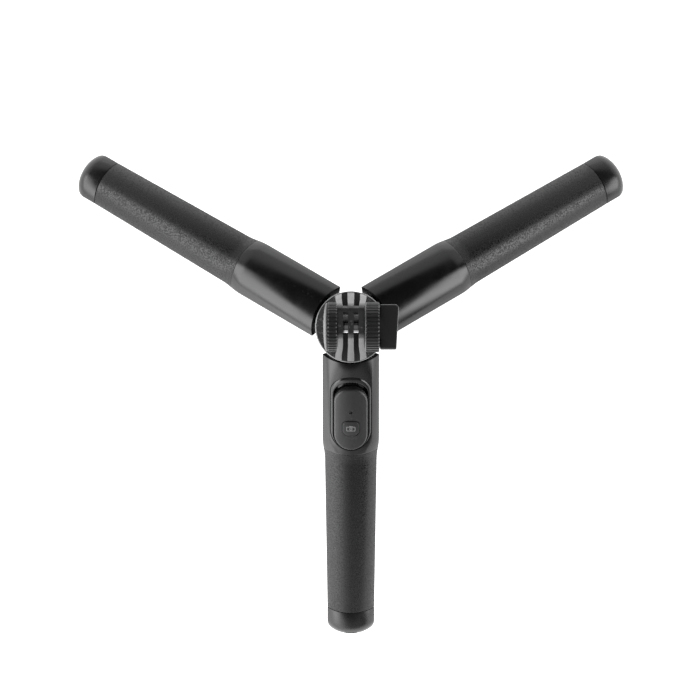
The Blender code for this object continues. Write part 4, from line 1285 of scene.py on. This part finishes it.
def ramp(tree, value, *stops):
    """A smooth curve through (position, brightness) stops."""
    made = node(tree, "ShaderNodeValToRGB")
    made.color_ramp.interpolation = "EASE"
    elements = made.color_ramp.elements
    while len(elements) < len(stops):
        elements.new(0.5)
    for element, (position, level) in zip(elements, stops):
        element.position = position
        element.color = (level, level, level, 1)
    wire(tree, value, made.inputs["Fac"])
    return made.outputs["Color"]


def light_room():
    """A dark ceiling, a pale horizon and a long soft box low on either side."""
    world = bpy.data.worlds.new("studio")
    bpy.context.scene.world = world
    world.use_nodes = True
    tree = world.node_tree
    toward = node(tree, "ShaderNodeTexCoord").outputs["Generated"]
    apart = node(tree, "ShaderNodeSeparateXYZ")
    wire(tree, toward, apart.inputs["Vector"])
    x, y, z = (apart.outputs[axis] for axis in "XYZ")
    height = span(tree, z, -1.0, 1.0)
    round_about = maths(tree, "DIVIDE", maths(tree, "ARCTAN2", y, x), 2 * pi)
    azimuth = maths(tree, "FRACT", maths(tree, "ADD", round_about, 0.5))
    # azimuth runs from 0 at -X, through -Y at 0.25, +X at 0.5 and +Y at 0.75
    ceiling = ramp(tree, height, (0.80, 0.0), (0.88, 0.10), (0.97, 0.24))
    side_height = ramp(tree, height, (0.44, 0.3), (0.56, 1.0), (0.695, 1.0), (0.77, 0.0))
    back_height = ramp(tree, height, (0.44, 1.0), (0.62, 1.0), (0.685, 0.8), (0.74, 0.0))
    front_height = ramp(tree, height, (0.40, 1.0), (0.72, 1.0), (0.82, 0.0))
    left = ramp(tree, azimuth, (0.0, 1.0), (0.09, 1.0), (0.15, 0.45), (0.21, 0.10),
                (0.26, 0.0), (0.925, 0.0), (0.96, 1.0))
    right = ramp(tree, azimuth, (0.40, 0.0), (0.45, 1.0), (0.515, 1.0), (0.55, 0.0))
    back = ramp(tree, azimuth, (0.55, 0.0), (0.60, 1.0), (0.90, 1.0), (0.96, 0.0))
    front = ramp(tree, azimuth, (0.10, 0.0), (0.20, 1.0), (0.30, 1.0), (0.44, 0.0))
    total = ceiling
    for side, band, power in ((left, side_height, 5.6), (right, side_height, 5.8),
                              (back, back_height, 1.0), (front, front_height, 0.65)):
        lit = maths(tree, "MULTIPLY", maths(tree, "MULTIPLY", side, band), power)
        total = maths(tree, "ADD", total, lit)
    wire(tree, total, tree.nodes["Background"].inputs["Color"])


def lay_table():
    """The pale table, lit from below as a light table is."""
    table = start("circle", "light_table", radius=1.6, vertices=96, fill_type="NGON")
    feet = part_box("leg_front_foot")[0][2]
    stand(table, Matrix.Translation((0, 0, feet)))
    made, tree, shader, coords = new_finish("table_white")
    shader.inputs["Base Color"].default_value = (0.8, 0.8, 0.8, 1)
    shader.inputs["Roughness"].default_value = 0.9
    shader.inputs["Emission Color"].default_value = (1, 1, 1, 1)
    shader.inputs["Emission Strength"].default_value = 1.0
    near = node(tree, "ShaderNodeVectorMath", operation="DISTANCE")
    wire(tree, coords["Object"], near.inputs[0])
    near.inputs[1].default_value = (-0.36, -0.42, feet)
    glow = span(tree, near.outputs["Value"], 0.12, 0.48, 3.2, 1.3)
    wire(tree, glow, shader.inputs["Emission Color"])
    table.data.materials.append(made)


def set_camera():
    """A very long lens straight above, leaning half a degree."""
    distance, width = 18.0, 0.4082
    lens = bpy.data.cameras.new("overhead")
    lens.sensor_width = 36.0
    lens.lens = 36.0 * distance / width
    lens.clip_start, lens.clip_end = 1.0, 60.0
    camera = bpy.data.objects.new("overhead", lens)
    bpy.context.scene.collection.objects.link(camera)
    target = Vector((-0.0005, -0.0145, 0.05))
    lean = radians(0.5)
    camera.location = target + distance * Vector((0, sin(lean), cos(lean)))
    camera.rotation_euler = (-lean, 0, 0)
    bpy.context.scene.camera = camera
    bpy.context.scene.view_settings.view_transform = "Standard"


set_camera()
light_room()
build_legs()
build_cradle()
build_remote()
build_pole()
build_hub()
build_swivel()
build_fork()
build_nut_knob()
build_thumb_knob()
build_wing()
dress_hidden_nodes()
lay_table()
